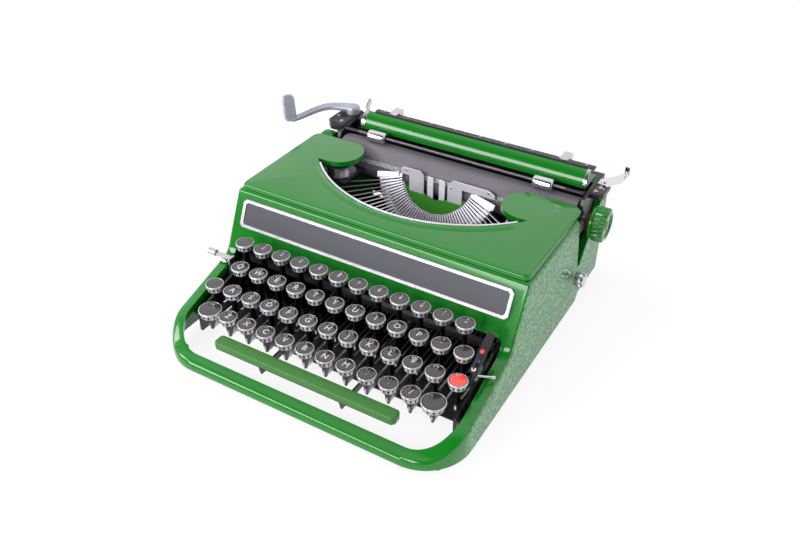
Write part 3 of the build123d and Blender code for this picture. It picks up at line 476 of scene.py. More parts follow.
def swept(path, half_widths, half_heights, radius=0.4, up=(0, 0, 1)):
    """Bar of rounded rectangular section carried along a path in space; the section's
    width lies across the path and its height along up."""
    path = np.asarray(path, float)
    tangent = np.gradient(path, axis=0)
    tangent /= np.linalg.norm(tangent, axis=1, keepdims=True)
    side = np.cross(tangent, np.asarray(up, float))
    side /= np.linalg.norm(side, axis=1, keepdims=True)
    rise = np.cross(side, tangent)
    rings = []
    for index in range(len(path)):
        half_a, half_b = half_widths[index], half_heights[index]
        flat = rounded_outline(half_a, half_b, radius * min(half_a, half_b), 5)
        rings.append(path[index] + flat[:, :1] * side[index] + flat[:, 1:] * rise[index])
    points, faces = stacked(rings)
    return points, faces[:, ::-1]


def bow(start, middle, end, count=16):
    """Parabola through three points: start, middle at half way, and end."""
    start, middle, end = (np.asarray(p, float) for p in (start, middle, end))
    t = np.linspace(0, 1, count)[:, None]
    handle = 2 * middle - (start + end) / 2
    return (1 - t) ** 2 * start + 2 * t * (1 - t) * handle + t ** 2 * end


def marks(centres, across, along):
    """Small flat quads: each centre gets corners at plus and minus across and along."""
    centres = np.asarray(centres, float)
    across, along = np.broadcast_to(across, centres.shape), np.broadcast_to(along, centres.shape)
    corners = [centres - across - along, centres + across - along, centres + across + along,
               centres - across + along]
    points = np.stack(corners, axis=1).reshape(-1, 3)
    return points, np.arange(len(points)).reshape(-1, 4)


def welded(node):
    """Points and triangles of a node with doubled points merged."""
    mesh = NODES[node].data
    points = np.empty(len(mesh.vertices) * 3)
    mesh.vertices.foreach_get("co", points)
    points = points.reshape(-1, 3)
    corners = np.empty(len(mesh.loops), dtype=np.int32)
    mesh.loops.foreach_get("vertex_index", corners)
    _, first, number = np.unique(np.round(points, 6), axis=0, return_index=True, return_inverse=True)
    faces = number.reshape(-1)[corners].reshape(-1, 3)
    good = (faces[:, 0] != faces[:, 1]) & (faces[:, 1] != faces[:, 2]) & (faces[:, 2] != faces[:, 0])
    return points[first], faces[good]


def round_part(node):
    """Box corners, axis and radius of a node that is turned about the x direction."""
    low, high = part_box(node)
    middle = (low + high) / 2
    return low, high, (0, middle[1], middle[2]), (high[2] - low[2]) / 2


def body_of(node):
    return NODES[node]["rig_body"]


def keep(piece, body):
    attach(piece, body)
    return piece


def give(node, surface):
    """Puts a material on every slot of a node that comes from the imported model."""
    mesh = NODES[node].data
    if not mesh.materials:
        mesh.materials.append(surface)
    for index in range(len(mesh.materials)):
        mesh.materials[index] = surface


def smooth_copy(node, surface, degrees=50.0, bevel=0.0):
    """The node's own surface with even shading over its roundings."""
    piece = mesh_object(node + "_skin", *welded(node), surface)
    crease(piece, degrees)
    if bevel:
        edge = piece.modifiers.new("Edges", "BEVEL")
        edge.width = bevel
        edge.segments = 2
        edge.limit_method = "ANGLE"
        edge.angle_limit = math.radians(30)
        edge.harden_normals = True
    shading = piece.modifiers.new("Even shading", "WEIGHTED_NORMAL")
    shading.keep_sharp = True
    keep(piece, body_of(node))
    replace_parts(piece, node)
    return piece


def add(name, shape, surface, like, smooth=True, degrees=40.0):
    """A new piece that rides with the node that it belongs to."""
    piece = mesh_object(name, *shape, surface, smooth)
    if smooth:
        crease(piece, degrees)
    return keep(piece, body_of(like))


def lettering(text, centre, height, stretch=1.0, up=(0, 1, 0), right=(1, 0, 0)):
    """Flat text as points and faces, laid in the plane of right and up."""
    curve = bpy.data.curves.new("letter", "FONT")
    curve.body = text
    curve.align_x = "CENTER"
    curve.align_y = "CENTER"
    curve.size = height * 1.38
    curve.space_line = 0.62
    curve.offset = height * 0.008
    curve.resolution_u = 3
    holder = bpy.data.objects.new("letter", curve)
    bpy.context.scene.collection.objects.link(holder)
    bpy.context.view_layer.update()
    mesh = bpy.data.meshes.new_from_object(holder)
    flat = np.empty(len(mesh.vertices) * 3)
    mesh.vertices.foreach_get("co", flat)
    flat = flat.reshape(-1, 3)
    faces = [tuple(p.vertices) for p in mesh.polygons]
    bpy.data.objects.remove(holder)
    bpy.data.curves.remove(curve)
    bpy.data.meshes.remove(mesh)
    points = flat[:, :1] * stretch * np.asarray(right, float) + flat[:, 1:2] * np.asarray(up, float)
    return points + np.asarray(centre), faces


def letter_mesh(texts):
    """Several letterings, given as (points, faces) with faces of any length, as one."""
    points, faces, start = [], [], 0
    for some_points, some_faces in texts:
        points.append(some_points)
        faces += [tuple(corner + start for corner in face) for face in some_faces]
        start += len(some_points)
    return np.concatenate(points), faces


# Keys

LEGENDS = {
    "number_row_keys": "\"\n2 /\n3 +\n4 %\n5 &\n6 _\n7 (\n8 )\n9 ?\n0 !\n- *\n=",
    "upper_row_keys": "Q W E R T Y U I O P ^\n~",
    "lower_row_keys": "Z X C V B N M ;\n, :\n. /",
}
HOME_LEGENDS = "A S D F G H J K L @\n# \"\n'"


def legends_of(name):
    text = LEGENDS.get(name)
    if text:
        return text.split(" ")
    if name in HOME_KEYS:
        return [HOME_LEGENDS.split(" ")[HOME_KEYS.index(name)]]
    return [""]


def key_places():
    """Centre and radius of each key's top, by node: the highest flat patches of the key
    nodes, from left to right."""
    places = {}
    for name in NODES:
        if "_key" not in name:
            continue
        points, _ = welded(name)
        top = points[points[:, 2] > points[:, 2].max() - 1e-5]
        order = top[np.argsort(top[:, 0])]
        groups = np.split(order, len(order) // CUP_CORNERS)
        places[name] = [((g.min(0) + g.max(0)) / 2, (g[:, 0].max() - g[:, 0].min()) / 2) for g in groups]
    return places


class TYPEWRITER_OT_keys(bpy.types.Operator):
    """Metal cups, bright rims, dark glassy faces and lettering of the round keys"""
    bl_idname = "typewriter.keys"
    bl_label = "Key tops"

    def execute(self, context):
        finish, sizes = settings()
        looks = finishes()
        face = material("key face", finish.key_face, 0.16, coat=1.0, scale=500, bump=0.03,
                        variation=0.5)
        red = material("tab face", finish.tab, 0.2, coat=1.0, scale=500, bump=0.03, variation=0.15)
        light = material("key lettering", finish.letter, 0.35, metallic=0.35, scale=800, bump=0.02,
                         variation=0.05)
        for name, tops in key_places().items():
            give(name, looks["levers"])
            cups, faces, letters = [], [], []
            for (centre, radius), legend in zip(tops, legends_of(name)):
                out = radius + sizes.key_skin
                rim = sizes.key_rim
                low = out - 0.0064 * math.tan(CUP_TAPER)
                cup = [
                    (0.0001, -0.0066), (low - 0.0022, -0.0066), (low - 0.0006, -0.0063), (low, -0.0058),
                    (out - 0.0007, -0.0021), (out - 0.0006, -0.0018), (out - 0.00005, -0.0016),
                    (out, -0.0012), (out, -0.0005), (out - 0.0002, -0.0001), (out - 0.0005, 0.0001),
                    (out - rim + 0.0002, 0.0001), (out - rim, -0.0001), (out - rim, -0.0003),
                ]
                cups.append(turned(cup, centre))
                inner = out - rim
                dome = [(inner, -0.00002), (inner * 0.85, 0.00003), (inner * 0.5, 0.00006), (0.00001, 0.00007)]
                faces.append(turned(dome, centre))
                if legend:
                    small = "\n" in legend
                    height = sizes.letter_height * (0.62 if small else 1.0)
                    lift = np.array([0, 0.0021 if small else 0, 0.0001])
                    letters.append(lettering(legend, centre + lift, height, 0.9))
            add(name + "_cups", joined(cups), looks["dull"], name)
            add(name + "_faces", joined(faces), red if name == "tab_key" else face, name)
            if letters:
                add(name + "_letters", letter_mesh(letters), light, name, smooth=False)
            if name in ("lower_row_keys", "shift_key_left", "shift_key_right"):
                wedges = [self.wedge(centre) for centre, _ in tops]
                add(name + "_wedges", joined(wedges), looks["black"], name)
        return {"FINISHED"}

    def wedge(self, centre):
        """Pointed guard below a front key: rounded rectangles that shrink with depth."""
        rings = []
        for depth, half_x, half_y in (
            (0.0206, 0.0009, 0.0014), (0.0150, 0.0018, 0.0024), (0.0062, 0.0026, 0.0029),
        ):
            flat = rounded_outline(half_x, half_y, 0.0006, 4)
            rings.append(np.column_stack([flat, np.full(len(flat), -depth)]) + centre)
        return stacked(rings)


class TYPEWRITER_OT_space_bar(bpy.types.Operator):
    """Moulded space bar with round corners over its two arms"""
    bl_idname = "typewriter.space_bar"
    bl_label = "Space bar"

    def execute(self, context):
        looks = finishes()
        give("space_bar", looks["black"])
        low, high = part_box("space_bar")
        top = high[2] + 0.00012
        centre = np.array([(low[0] + high[0]) / 2, low[1] + 0.0055, top - 0.0067])
        half = (high[0] - low[0]) / 2 + 0.00012
        bar = pillow(half, 0.00562, 0.0032, 0.0067, 0.0013, centre, (1, 0, 0), (0, 1, 0))
        add("space_bar_moulding", bar, looks["bar"], "space_bar", degrees=60)
        return {"FINISHED"}


# Case

class TYPEWRITER_OT_case(bpy.types.Operator):
    """Case, lift-off cover, feet and the bright strip along the mouth"""
    bl_idname = "typewriter.case"
    bl_label = "Case and cover"

    def execute(self, context):
        looks = finishes()
        smooth_copy("case_shell", looks["case"])
        smooth_copy("top_cover", looks["paint"])
        smooth_copy("mouth_trim", looks["trim"], bevel=0.0003)
        give("rubber_feet", looks["foot"])
        for name in ("chassis", "lever_comb", "bottom_plate", "carriage_rail", "selector_plate"):
            give(name, looks["black"])
        panel = pillow(0.0215, 0.0115, 0.0015, 0.0012, 0.0003, spot(-100.2, 253, 55.5), (1, 0, 0), (0, 0, 1))
        add("inner_panel", panel, looks["paint"], "chassis")
        self.wall_fittings(looks)
        return {"FINISHED"}

    def wall_fittings(self, looks):
        """Chrome dome on the left rim and the smooth leaf-shaped dimple on the right wall."""
        dome = [(0.0046, 0), (0.0045, 0.0008), (0.0038, 0.0021), (0.0024, 0.0030), (0.0010, 0.0034),
                (0.00002, 0.0035)]
        add("rim_button", turned(dome, spot(-132.6, 93.5, 46.2), 32), looks["bright"], "case_shell")
        t = np.linspace(0, 1, 25)[:, None]
        across = np.linspace(-1, 1, 9)[None, :]
        start, end = np.array([188.0, 74.6]), np.array([226.0, 48.0])
        line = (end - start) / np.linalg.norm(end - start)
        wide = 3.4 * np.sin(np.pi * t) ** 0.8
        y = start[0] + (end - start)[0] * t - line[1] * wide * across
        z = start[1] + (end - start)[1] * t + line[0] * wide * across
        x = CASE_HALF * 1000 + 0.05 + 0.75 * np.sin(np.pi * t) * (1 - across ** 2)
        points = np.stack([MIDDLE_X * 1000 + x, FRONT_Y * 1000 + y, z], axis=-1).reshape(-1, 3) / 1000
        faces = grid_faces(25, 9)[:, ::-1]
        add("wall_dimple", (points, faces), looks["paint"], "case_shell")


class TYPEWRITER_OT_nameplate(bpy.types.Operator):
    """Silver frame with a beaded line, and the plain slate plate"""
    bl_idname = "typewriter.nameplate"
    bl_label = "Nameplate"

    def execute(self, context):
        looks = finishes()
        _, sizes = settings()
        smooth_copy("nameplate_frame", looks["frame"], bevel=0.0005)
        give("nameplate_panel", looks["slate"])
        points, _ = welded("nameplate_frame")
        centre = (points.min(0) + points.max(0)) / 2
        slope = np.array([0, PANEL_RUN, PANEL_RISE]) / math.hypot(PANEL_RUN, PANEL_RISE)
        normal = np.array([0, -PANEL_RISE, PANEL_RUN]) / math.hypot(PANEL_RUN, PANEL_RISE)
        rise = (points @ normal).max() - centre @ normal
        half_x = (points[:, 0].max() - points[:, 0].min()) / 2
        along = np.arange(-half_x + 0.0022, half_x - 0.002, BEAD_STEP)
        up = np.arange(-0.0103, 0.0105, BEAD_STEP)
        rows = [(along, np.full_like(along, -0.0108)), (np.full_like(up, half_x - 0.0016), up),
                (along, np.full_like(along, 0.0108)), (np.full_like(up, -half_x + 0.0016), up)]
        places = np.concatenate([centre + a[:, None] * (1, 0, 0) + b[:, None] * slope for a, b in rows])
        places = places + normal * (rise + 0.00002)
        side = np.array([1.0, 0, 0])
        radius = sizes.bead
        ring = np.linspace(0, 2 * np.pi, 7)[:-1]
        base = radius * (np.cos(ring)[:, None] * side + np.sin(ring)[:, None] * slope)
        bead = np.concatenate([base, base * 0.65 + normal * radius * 0.6, normal[None] * radius * 0.85])
        points = (places[:, None, :] + bead[None]).reshape(-1, 3)
        corner = np.arange(6)
        after = (corner + 1) % 6
        lower = np.stack([corner, after, after + 6, corner + 6], axis=-1)
        upper = np.stack([corner + 6, after + 6, np.full(6, 12)], axis=-1)
        start = (np.arange(len(places)) * 13)[:, None, None]
        quads = (lower[None] + start).reshape(-1, 4)
        tips = (upper[None] + start).reshape(-1, 3)
        add("nameplate_beads", (points, [tuple(q) for q in quads] + [tuple(q) for q in tips]), looks["trim"],
            "nameplate_frame", degrees=80)
        return {"FINISHED"}


# Printing parts

class TYPEWRITER_OT_printing_parts(bpy.types.Operator):
    """Segment, typebars, ribbon carrier, card guides and the green crescent"""
    bl_idname = "typewriter.printing_parts"
    bl_label = "Printing parts"

    def execute(self, context):
        looks = finishes()
        give("typebar_segment", looks["satin"])
        for name in ("typebars", "typebar_moving", "ribbon_spool_left", "ribbon_spool_right"):
            give(name, looks["steel"])
        smooth_copy("segment_cover", looks["crescent"], bevel=0.0002)
        smooth_copy("type_guide", looks["satin"], bevel=0.0002)
        smooth_copy("ribbon_vibrator", looks["white"], bevel=0.0002)
        low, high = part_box("type_guide")
        pin = [(0.0011, 0), (0.0010, 0.0004), (0.0006, 0.0006), (0.00002, 0.0006)]
        spots = [(low[0] + 0.006, low[2] + 0.0205), (high[0] - 0.006, low[2] + 0.0205), (0.0272, 0.0935)]
        pins = []
        for x, z in spots:
            points, faces = turned(pin, (0, 0, 0), 20, "y")
            points[:, 1] *= -1
            pins.append((points + (x, low[1], z), faces[:, ::-1]))
        add("guide_rivets", joined(pins), looks["bright"], "type_guide")
        return {"FINISHED"}


# Carriage

def numerals(values, pitch, middle, height, size, up):
    """Generic figures along a scale, one each pitch."""
    texts = []
    for index, value in enumerate(values):
        x = middle + (index - (len(values) - 1) / 2) * pitch
        texts.append(lettering(str(value), (x, *height), size, 1.0, up))
    return letter_mesh(texts)


class TYPEWRITER_OT_platen(bpy.types.Operator):
    """Platen roller with its shaft, both knobs and the collar"""
    bl_idname = "typewriter.platen"
    bl_label = "Platen and knobs"

    def execute(self, context):
        looks = finishes()
        low, high, centre, radius = round_part("platen_roller")
        left, right = CARRIAGE_X - PLATEN_HALF, CARRIAGE_X + PLATEN_HALF
        roller = turned([
            (0.0001, left), (PLATEN_END_RADIUS, left), (0.0112, left + 0.0002),
            (radius - 0.0012, left + 0.0002),
            (radius - 0.0002, left + 0.0006), (radius, left + 0.0014), (radius, right - 0.0014),
            (radius - 0.0002, right - 0.0006), (radius - 0.0012, right - 0.0002), (0.0112, right - 0.0002),
            (PLATEN_END_RADIUS, right), (0.0001, right),
        ], centre, 96, "x")
        shaft = turned([
            (0.0001, low[0]), (0.0034, low[0]), (0.004, low[0] + 0.0006), (0.004, high[0] - 0.0006),
            (0.0034, high[0]), (0.0001, high[0]),
        ], centre, 32, "x")
        for name, shape, look in (("platen_rubber", roller, "rubber"), ("platen_shaft", shaft, "steel")):
            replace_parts(add(name, shape, looks[look], "platen_roller"), "platen_roller")
        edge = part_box("knob_right")[0][0]
        collar = [(0.004, edge - 0.0052), (0.0072, edge - 0.005), (0.0076, edge - 0.0046),
                  (0.0076, edge - 0.0018),
                  (0.0068, edge - 0.001), (0.004, edge - 0.001)]
        add("shaft_collar", turned(collar, centre, 32, "x"), looks["collar"], "knob_right")
        for side, way in (("left", -1), ("right", 1)):
            self.knob(side, way, looks)
        return {"FINISHED"}

    def knob(self, side, way, looks):
        """Knob: a smooth green drum, a ribbed band near the outer end and a dished face."""
        node = "knob_" + side
        low, high, centre, radius = round_part(node)
        inner, outer = (low[0], high[0]) if way > 0 else (high[0], low[0])
        length = abs(outer - inner)

        def along(share):
            return inner + way * share * length

        drum = [(0.0041, along(0)), (radius * 0.82, along(0)), (radius * 0.93, along(0.03)),
                (radius * 0.985, along(0.1)), (radius * 0.985, along(0.2)), (radius * 0.93, along(0.24))]
        band = [(radius * 0.93, along(0.22)), (radius - 0.0001, along(0.27)), (radius, along(0.3)),
                (radius, along(0.84)), (radius - 0.0006, along(0.9)), (radius * 0.9, along(0.95))]
        dish = [(radius * 0.9, along(0.95)), (radius * 0.84, along(0.995)), (radius * 0.76, along(1.0)),
                (radius * 0.72, along(0.97)), (radius * 0.68, along(0.9)), (radius * 0.3, along(0.88)),
                (radius * 0.27, along(0.93)), (radius * 0.2, along(0.97)), (0.0001, along(0.98))]
        for name, profile, ribs, look in (
            ("drum", drum, 0, "knob"), ("ribs", band, KNOB_RIBS, "knob"), ("face", dish, 0, "knob"),
        ):
            count, depth = (196, KNOB_RIB_DEPTH) if ribs else (64, 0)
            points, faces = turned(profile, centre, count, "x", ribs, depth)
            shape = (points, faces if way > 0 else faces[:, ::-1])
            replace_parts(add(node + "_" + name, shape, looks[look], node, degrees=35), node)


class TYPEWRITER_OT_carriage(bpy.types.Operator):
    """Carriage frame, scales, paper table, bail, stops and their prints"""
    bl_idname = "typewriter.carriage"
    bl_label = "Carriage"

    def execute(self, context):
        looks = finishes()
        _, sizes = settings()
        give("carriage_frame", looks["black"])
        for name, look, bevel in (
            ("carriage_cap_left", "black", 0.0006), ("carriage_cap_right", "black", 0.0005),
            ("paper_table", "paint", 0.0003), ("margin_scale", "black", 0.0002),
            ("margin_stop_left", "steel", 0.0005), ("margin_stop_right", "steel", 0.0005),
            ("paper_bail", "black", 0.0002), ("line_scale", "black", 0.0),
        ):
            smooth_copy(name, looks[look], bevel=bevel)
        self.scale_prints(looks, sizes)
        self.bail_rollers(looks)
        self.table_edge(looks)
        self.screws(looks)
        return {"FINISHED"}

    def scale_prints(self, looks, sizes):
        """Ticks on the line scale, the bail rod and the margin bar, and figures there."""
        platen_low, platen_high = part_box("platen_roller")
        axis_y, axis_z = (platen_low[1] + platen_high[1]) / 2, (platen_low[2] + platen_high[2]) / 2
        x = CARRIAGE_X + np.arange(-91, 92) * sizes.tick
        tall = np.where(np.arange(-91, 92) % 5 == 0, 0.0026, 0.0022)[:, None]
        centres = np.stack([x, np.full_like(x, axis_y - SCALE_REACH * math.cos(SCALE_TURN)),
                            np.full_like(x, axis_z + SCALE_REACH * math.sin(SCALE_TURN))], axis=-1)
        up = np.array([0, math.sin(SCALE_TURN), math.cos(SCALE_TURN)])
        add("line_scale_ticks", marks(centres, (0.00022, 0, 0), tall * up), looks["white"], "line_scale", False)
        rod_y, rod_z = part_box("paper_bail")[0][1] + 0.0022, BAIL_ROD_HEIGHT
        x = CARRIAGE_X + np.arange(-82, 83) * sizes.tick
        far = np.abs(np.abs(x - CARRIAGE_X) - 0.0845) > 0.0105
        centres = np.stack([x, np.full_like(x, rod_y - 0.0011), np.full_like(x, rod_z + 0.0011)], axis=-1)[far]
        ticks = marks(centres, (0.00014, 0, 0), (0, 0.0005, 0.0005))
        add("bail_ticks", ticks, looks["white"], "paper_bail", False)
        low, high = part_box("margin_scale")
        x = np.arange(low[0] + 0.006, high[0] - 0.004, 2 * sizes.tick)
        long = np.where(np.arange(len(x)) % 5 == 0, 0.0008, 0.00045)[:, None]
        centres = np.stack([x, np.full_like(x, low[1] + 0.0013), np.full_like(x, high[2] + 0.00003)], axis=-1)
        ticks = marks(centres, (0.00014, 0, 0), long * (0, 1, 0))
        add("margin_ticks", ticks, looks["white"], "margin_scale", False)
        middle = (low[0] + high[0]) / 2
        level = (low[1] + 0.0036, high[2] + 0.00004)
        figures = numerals(range(0, 90, 10), 0.0254, middle, level, 0.0018, (0, 1, 0))
        add("margin_figures", figures, looks["white"], "margin_scale", False)

    def bail_rollers(self, looks):
        """Rounded metal rollers in place of the plain ones."""
        for side in ("left", "right"):
            node = "bail_roller_" + side
            low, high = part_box(node)
            middle = (low + high) / 2
            radius, half = (high[2] - low[2]) / 2, (high[0] - low[0]) / 2
            profile = [(0.0016, -half), (0.0034, -half), (radius - 0.0012, -half + 0.0003),
                       (radius - 0.0003, -half + 0.001),
                       (radius, -half + 0.0022), (radius, half - 0.0022), (radius - 0.0003, half - 0.001),
                       (radius - 0.0012, half - 0.0003), (0.0034, half), (0.0016, half)]
            shape = turned(profile, middle, 48, "x")
            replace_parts(add(node + "_body", shape, looks["bright"], node), node)

    def table_edge(self, looks):
        """Bright strips bent over the paper table's two ends."""
        low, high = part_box("paper_table")
        foot, bend = (0, low[1] - 0.0002, low[2] + 0.001), (0, low[1] + 0.0021, 0.1181)
        curve = bow(foot, bend, (0, low[1] + 0.009, high[2] + 0.0001), 14)
        for name, x, half in (
            ("table_strip_left", low[0] + 0.0022, 0.0022), ("table_strip_right", high[0] - 0.0016, 0.0016),
        ):
            strip = swept(curve + (x, 0, 0), [half] * 14, [0.00035] * 14, 0.6, up=(0, -1, 0.35))
            add(name, strip, looks["bright"], "paper_table")

    def screws(self, looks):
        """Cheese-head screws on the castings: a low turned head with a slot laid across."""
        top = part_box("carriage_cap_left")[1][2]
        places = [("carriage_cap_left", (-0.1105, 0.1075, top)), ("carriage_cap_left", (-0.1195, 0.1165, top)),
                  ("carriage_cap_left", (-0.1115, 0.1335, top))]
        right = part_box("carriage_cap_right")[1]
        places += [("carriage_cap_right", (0.1485, 0.1095, right[2])),
                   ("carriage_cap_right", (0.1505, 0.1165, right[2]))]
        head = [(0.0019, 0), (0.0019, 0.0006), (0.0016, 0.0009), (0.0007, 0.00095), (0.00002, 0.00096)]
        for node in ("carriage_cap_left", "carriage_cap_right"):
            mine = [np.array(place) for owner, place in places if owner == node]
            add(node + "_screws", joined([turned(head, place, 24) for place in mine]), looks["steel"], node)
            tops = [place + (0, 0, 0.00099) for place in mine]
            slots = marks(tops, (0.0014, 0.0006, 0), (-0.0001, 0.00022, 0))
            add(node + "_slots", slots, looks["black"], node, False)


class TYPEWRITER_OT_levers(bpy.types.Operator):
    """Return lever, releases, touch lever, selector and the knurled side knob"""
    bl_idname = "typewriter.levers"
    bl_label = "Levers and small controls"

    def execute(self, context):
        looks = finishes()
        for name, look, bevel in (
            ("carriage_release", "bright", 0.0003), ("paper_release", "steel", 0.0003),
            ("touch_lever", "steel", 0.0003), ("ribbon_selector", "steel", 0.0),
        ):
            smooth_copy(name, looks[look], bevel=bevel)
        self.return_lever(looks)
        self.side_knob(looks)
        self.selector(looks)
        return {"FINISHED"}

    def return_lever(self, looks):
        """Cast arm that bows out to the left, a domed hub and an upright rounded paddle."""
        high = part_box("return_lever")[1]
        pin = np.array([high[0] - 0.007, high[1] - 0.0069, 0.1123])
        hub = [(0.0001, 0), (0.007, 0), (0.007, 0.0048), (0.0066, 0.0060), (0.0052, 0.0072), (0.003, 0.0079),
               (0.0018, 0.008), (0.0016, 0.0077), (0.00005, 0.0077)]
        share = np.linspace(0, 1, 26)
        path = bow(pin + (0.002, 0, 0), pin + (-0.0262, -0.0125, 0), pin + (-0.0455, -0.0405, 0), 26)
        fall = np.clip((share - 0.38) / 0.62, 0, 1)
        path[:, 2] = pin[2] + 0.0047 - 0.0073 * (3 * fall ** 2 - 2 * fall ** 3)
        arm = swept(path, 0.0064 - 0.0034 * share ** 0.7, 0.0027 - 0.0006 * share, 0.75)
        rib_width, rib_height = 0.0018 - 0.0006 * share, 0.0013 + 0 * share
        rib = swept(path[2:-1] + (0, 0, 0.0019), rib_width[2:-1], rib_height[2:-1], 0.8)
        along = np.array([-9.5, -11.0, 0]) / math.hypot(11.0, 9.5)
        rise = np.array([-0.0045, 0.0062, 0.0245])
        rise = rise - along * (rise @ along)
        rise /= np.linalg.norm(rise)
        across = np.cross(along, rise)
        centre = pin + (-0.0488, -0.0392, 0.0086)
        blade = pillow(0.0062, 0.0132, 0.0052, 0.0046, 0.0018, centre - across * 0.0023, along, rise)
        for name, shape in (("return_hub", turned(hub, pin, 40)), ("return_arm", arm), ("return_rib", rib),
                            ("return_paddle", blade)):
            piece = add(name, shape, looks["cast"], "return_lever", degrees=55)
            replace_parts(piece, "return_lever")

    def side_knob(self, looks):
        """Knurled drum outside the right wall on a plain stem."""
        low, high, centre, radius = round_part("side_knob")
        outer = high[0]
        inner = outer - 0.009
        profile = [(0.0025, inner), (radius - 0.0006, inner), (radius, inner + 0.0007),
                   (radius, outer - 0.0012),
                   (radius - 0.0009, outer - 0.0002), (radius * 0.6, outer), (radius * 0.5, outer - 0.0004),
                   (0.0001, outer - 0.0005)]
        stem = [(0.0001, low[0]), (0.0045, low[0]), (0.0045, low[0] + 0.0019), (0.0025, low[0] + 0.0019),
                (0.0025, inner + 0.0002)]
        drum = turned(profile, centre, 160, "x", SIDE_KNOB_RIBS, SIDE_KNOB_RIB_DEPTH)
        for name, shape, look in (("side_knob_drum", drum, "bright"),
                                  ("side_knob_stem", turned(stem, centre, 24, "x"), "steel")):
            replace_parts(add(name, shape, looks[look], "side_knob"), "side_knob")

    def selector(self, looks):
        """Black sloping strip over the selector plate with three coloured dots, and the
        little rod that reaches over the rim."""
        slope = np.array([0, 0.891, 0.454])
        normal = np.array([0, -0.454, 0.891])
        start, end = spot(125.2, 61.8, 58.0), spot(125.2, 92.0, 73.4)
        middle = (start + end) / 2
        half = np.linalg.norm(end - start) / 2
        strip = pillow(0.0033, half, 0.0012, 0.0016, 0.0004, middle - normal * 0.0016, (1, 0, 0), slope)
        web = pillow(0.0006, 0.0115, 0.0004, 0.013, 0.0002, spot(125.2, 74.5, 51.5), (1, 0, 0), (0, 1, 0))
        add("selector_face", joined([strip, web]), looks["black"], "selector_plate")
        dot = [(0.0017, 0), (0.0017, 0.0003), (0.0013, 0.0006), (0.00002, 0.0007)]
        for name, code, distance in (
            ("red", "e03a2c", 77.8), ("blue", "3a62c8", 70.5), ("white", "f0f0f0", 64.4),
        ):
            look = material(name + " dot", colour_of(code), 0.35, coat=0.5, scale=900, bump=0.05)
            points, faces = turned(dot, (0, 0, 0), 20)
            points = points[:, :1] * (1, 0, 0) + points[:, 1:2] * slope + points[:, 2:] * normal
            share = (distance - 61.8) / (92.0 - 61.8)
            place = start + (end - start) * share
            add("selector_dot_" + name, (points + place, faces), look, "selector_plate")
        path = np.linspace(spot(126.4, 69.5, 49.2), spot(137.0, 77.5, 46.2), 8)
        thick = np.array([0.9, 0.9, 0.9, 0.9, 0.9, 1.0, 1.5, 1.2]) / 1000
        add("selector_rod", swept(path, thick, thick, 0.95), looks["bright"], "ribbon_selector")


# Stage

def aim(holder, target, roll=0.0):
    direction = Vector(target) - holder.location
    turn = direction.to_track_quat("-Z", "Y").to_matrix() @ Matrix.Rotation(roll, 3, "Z")
    holder.rotation_euler = turn.to_euler()


def floor_material(colour):
    """Pale floor: mostly plain white to the camera, so that the shadow stays faint,
    white to reflections, and a plain diffuse floor to the light."""
    made = bpy.data.materials.new("pale floor")
    made.use_nodes = True
    nodes, links = made.node_tree.nodes, made.node_tree.links
    shader = nodes["Principled BSDF"]
    shader.inputs["Base Color"].default_value = (*colour, 1)
    shader.inputs["Roughness"].default_value = 0.9
    shader.inputs["Specular IOR Level"].default_value = 0.0
    glow = nodes.new("ShaderNodeEmission")
    glow.inputs["Color"].default_value = (1, 1, 1, 1)
    glow.inputs["Strength"].default_value = 1.0
    ray = nodes.new("ShaderNodeLightPath")
    seen = maths(nodes, links, "MULTIPLY", ray.outputs["Is Camera Ray"], 0.86)
    mirrored = maths(nodes, links, "MULTIPLY", ray.outputs["Is Glossy Ray"], 0.8)
    share = maths(nodes, links, "MAXIMUM", seen, mirrored)
    mix = nodes.new("ShaderNodeMixShader")
    links.new(share, mix.inputs[0])
    links.new(shader.outputs[0], mix.inputs[1])
    links.new(glow.outputs[0], mix.inputs[2])
    links.new(mix.outputs[0], nodes["Material Output"].inputs["Surface"])
    return made


def studio_world():
    """Even soft light; white to the camera; to reflections a white back wall that
    darkens towards the front, by the direction's depth."""
    world = bpy.data.worlds.new("studio")
    world.use_nodes = True
    nodes, links = world.node_tree.nodes, world.node_tree.links
    fill = nodes["Background"]
    fill.inputs["Color"].default_value = (1, 1, 1, 1)
    place = nodes.new("ShaderNodeTexCoord")
    parts = nodes.new("ShaderNodeSeparateXYZ")
    links.new(place.outputs["Generated"], parts.inputs[0])
    wall = ramp(nodes, links, parts.outputs["Y"], -0.6, 0.1)
    mirror = maths(nodes, links, "MULTIPLY_ADD", wall, 0.92, 0.1)
    ray = nodes.new("ShaderNodeLightPath")
    share = maths(nodes, links, "MAXIMUM", ray.outputs["Is Glossy Ray"], ray.outputs["Is Transmission Ray"])
    unseen = blend_values(nodes, links, share, FILL_LIGHT, mirror)
    strength = blend_values(nodes, links, ray.outputs["Is Camera Ray"], unseen, 1.0)
    links.new(strength, fill.inputs["Strength"])
    return world


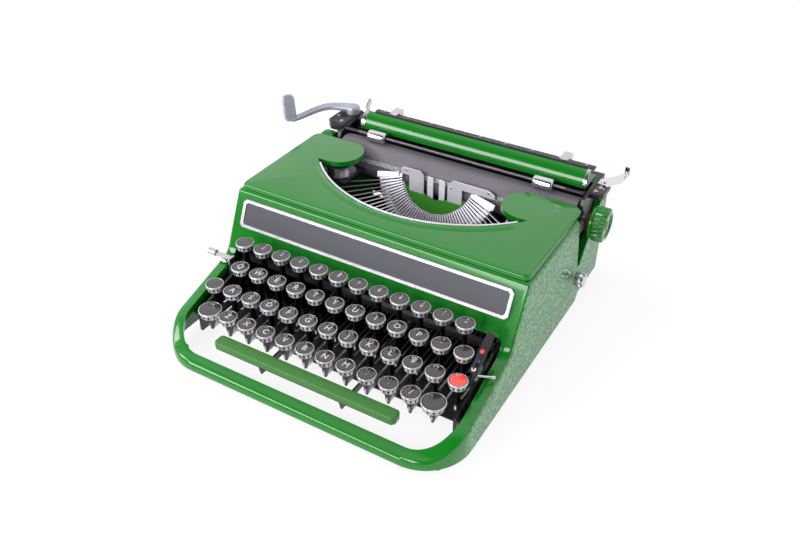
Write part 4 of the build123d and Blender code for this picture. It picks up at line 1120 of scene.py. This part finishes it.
class TYPEWRITER_OT_stage(bpy.types.Operator):
    """Pale floor, soft studio light and the camera"""
    bl_idname = "typewriter.stage"
    bl_label = "Stage"

    def execute(self, context):
        finish, _ = settings()
        scene = context.scene
        scene.view_settings.view_transform = "Standard"
        disc = turned([(6.0, 0), (3.0, 0), (1.0, 0), (0.0001, 0)], (0, 0, -0.0001), 64)
        mesh_object("floor", *disc, floor_material(finish.floor))
        scene.world = studio_world()
        window = self.lamp("low window", (-0.45, -0.95, 0.53), (0, 0.1, 0.11), 1.5, 15).data
        window.shape = "RECTANGLE"
        window.size_y = 0.4
        window.diffuse_factor = 0.08
        for name, place, size, power in (
            ("key light", (-0.9, 0.1, 1.5), 1.0, 14), ("rear light", (0.3, 1.3, 1.3), 1.4, 10),
            ("right light", (1.4, -0.6, 0.9), 0.9, 7),
        ):
            self.lamp(name, place, (0, 0, 0.05), size, power).visible_glossy = False
        lens = bpy.data.cameras.new("camera")
        lens.sensor_width = 36
        lens.lens = 38.38
        lens.clip_start = 0.01
        camera = bpy.data.objects.new("camera", lens)
        scene.collection.objects.link(camera)
        camera.location = CAMERA_PLACE
        aim(camera, CAMERA_TARGET, CAMERA_ROLL)
        scene.camera = camera
        return {"FINISHED"}

    def lamp(self, name, place, target, size, power):
        """Area lamp at a place, turned towards a target."""
        light = bpy.data.lights.new(name, "AREA")
        light.size = size
        light.energy = power
        holder = bpy.data.objects.new(name, light)
        bpy.context.scene.collection.objects.link(holder)
        holder.location = place
        aim(holder, target)
        return holder


class TYPEWRITER_PT_panel(bpy.types.Panel):
    bl_label = "Typewriter"
    bl_idname = "TYPEWRITER_PT_panel"
    bl_space_type = "VIEW_3D"
    bl_region_type = "UI"
    bl_category = "Typewriter"

    def draw(self, context):
        for operator in OPERATORS:
            self.layout.operator(operator.bl_idname)


OPERATORS = (
    TYPEWRITER_OT_case, TYPEWRITER_OT_nameplate, TYPEWRITER_OT_keys, TYPEWRITER_OT_space_bar,
    TYPEWRITER_OT_printing_parts, TYPEWRITER_OT_platen, TYPEWRITER_OT_carriage, TYPEWRITER_OT_levers,
    TYPEWRITER_OT_stage,
)
GROUPS = (TYPEWRITER_PG_finish, TYPEWRITER_PG_sizes)


def register():
    for item in GROUPS + OPERATORS + (TYPEWRITER_PT_panel,):
        bpy.utils.register_class(item)
    bpy.types.Scene.typewriter_finish = bpy.props.PointerProperty(type=TYPEWRITER_PG_finish)
    bpy.types.Scene.typewriter_sizes = bpy.props.PointerProperty(type=TYPEWRITER_PG_sizes)


def unregister():
    del bpy.types.Scene.typewriter_sizes
    del bpy.types.Scene.typewriter_finish
    for item in reversed(GROUPS + OPERATORS + (TYPEWRITER_PT_panel,)):
        bpy.utils.unregister_class(item)


def main():
    register()
    for operator in OPERATORS:
        getattr(bpy.ops.typewriter, operator.bl_idname.split(".")[1])()


if __name__ == "__main__":
    main()
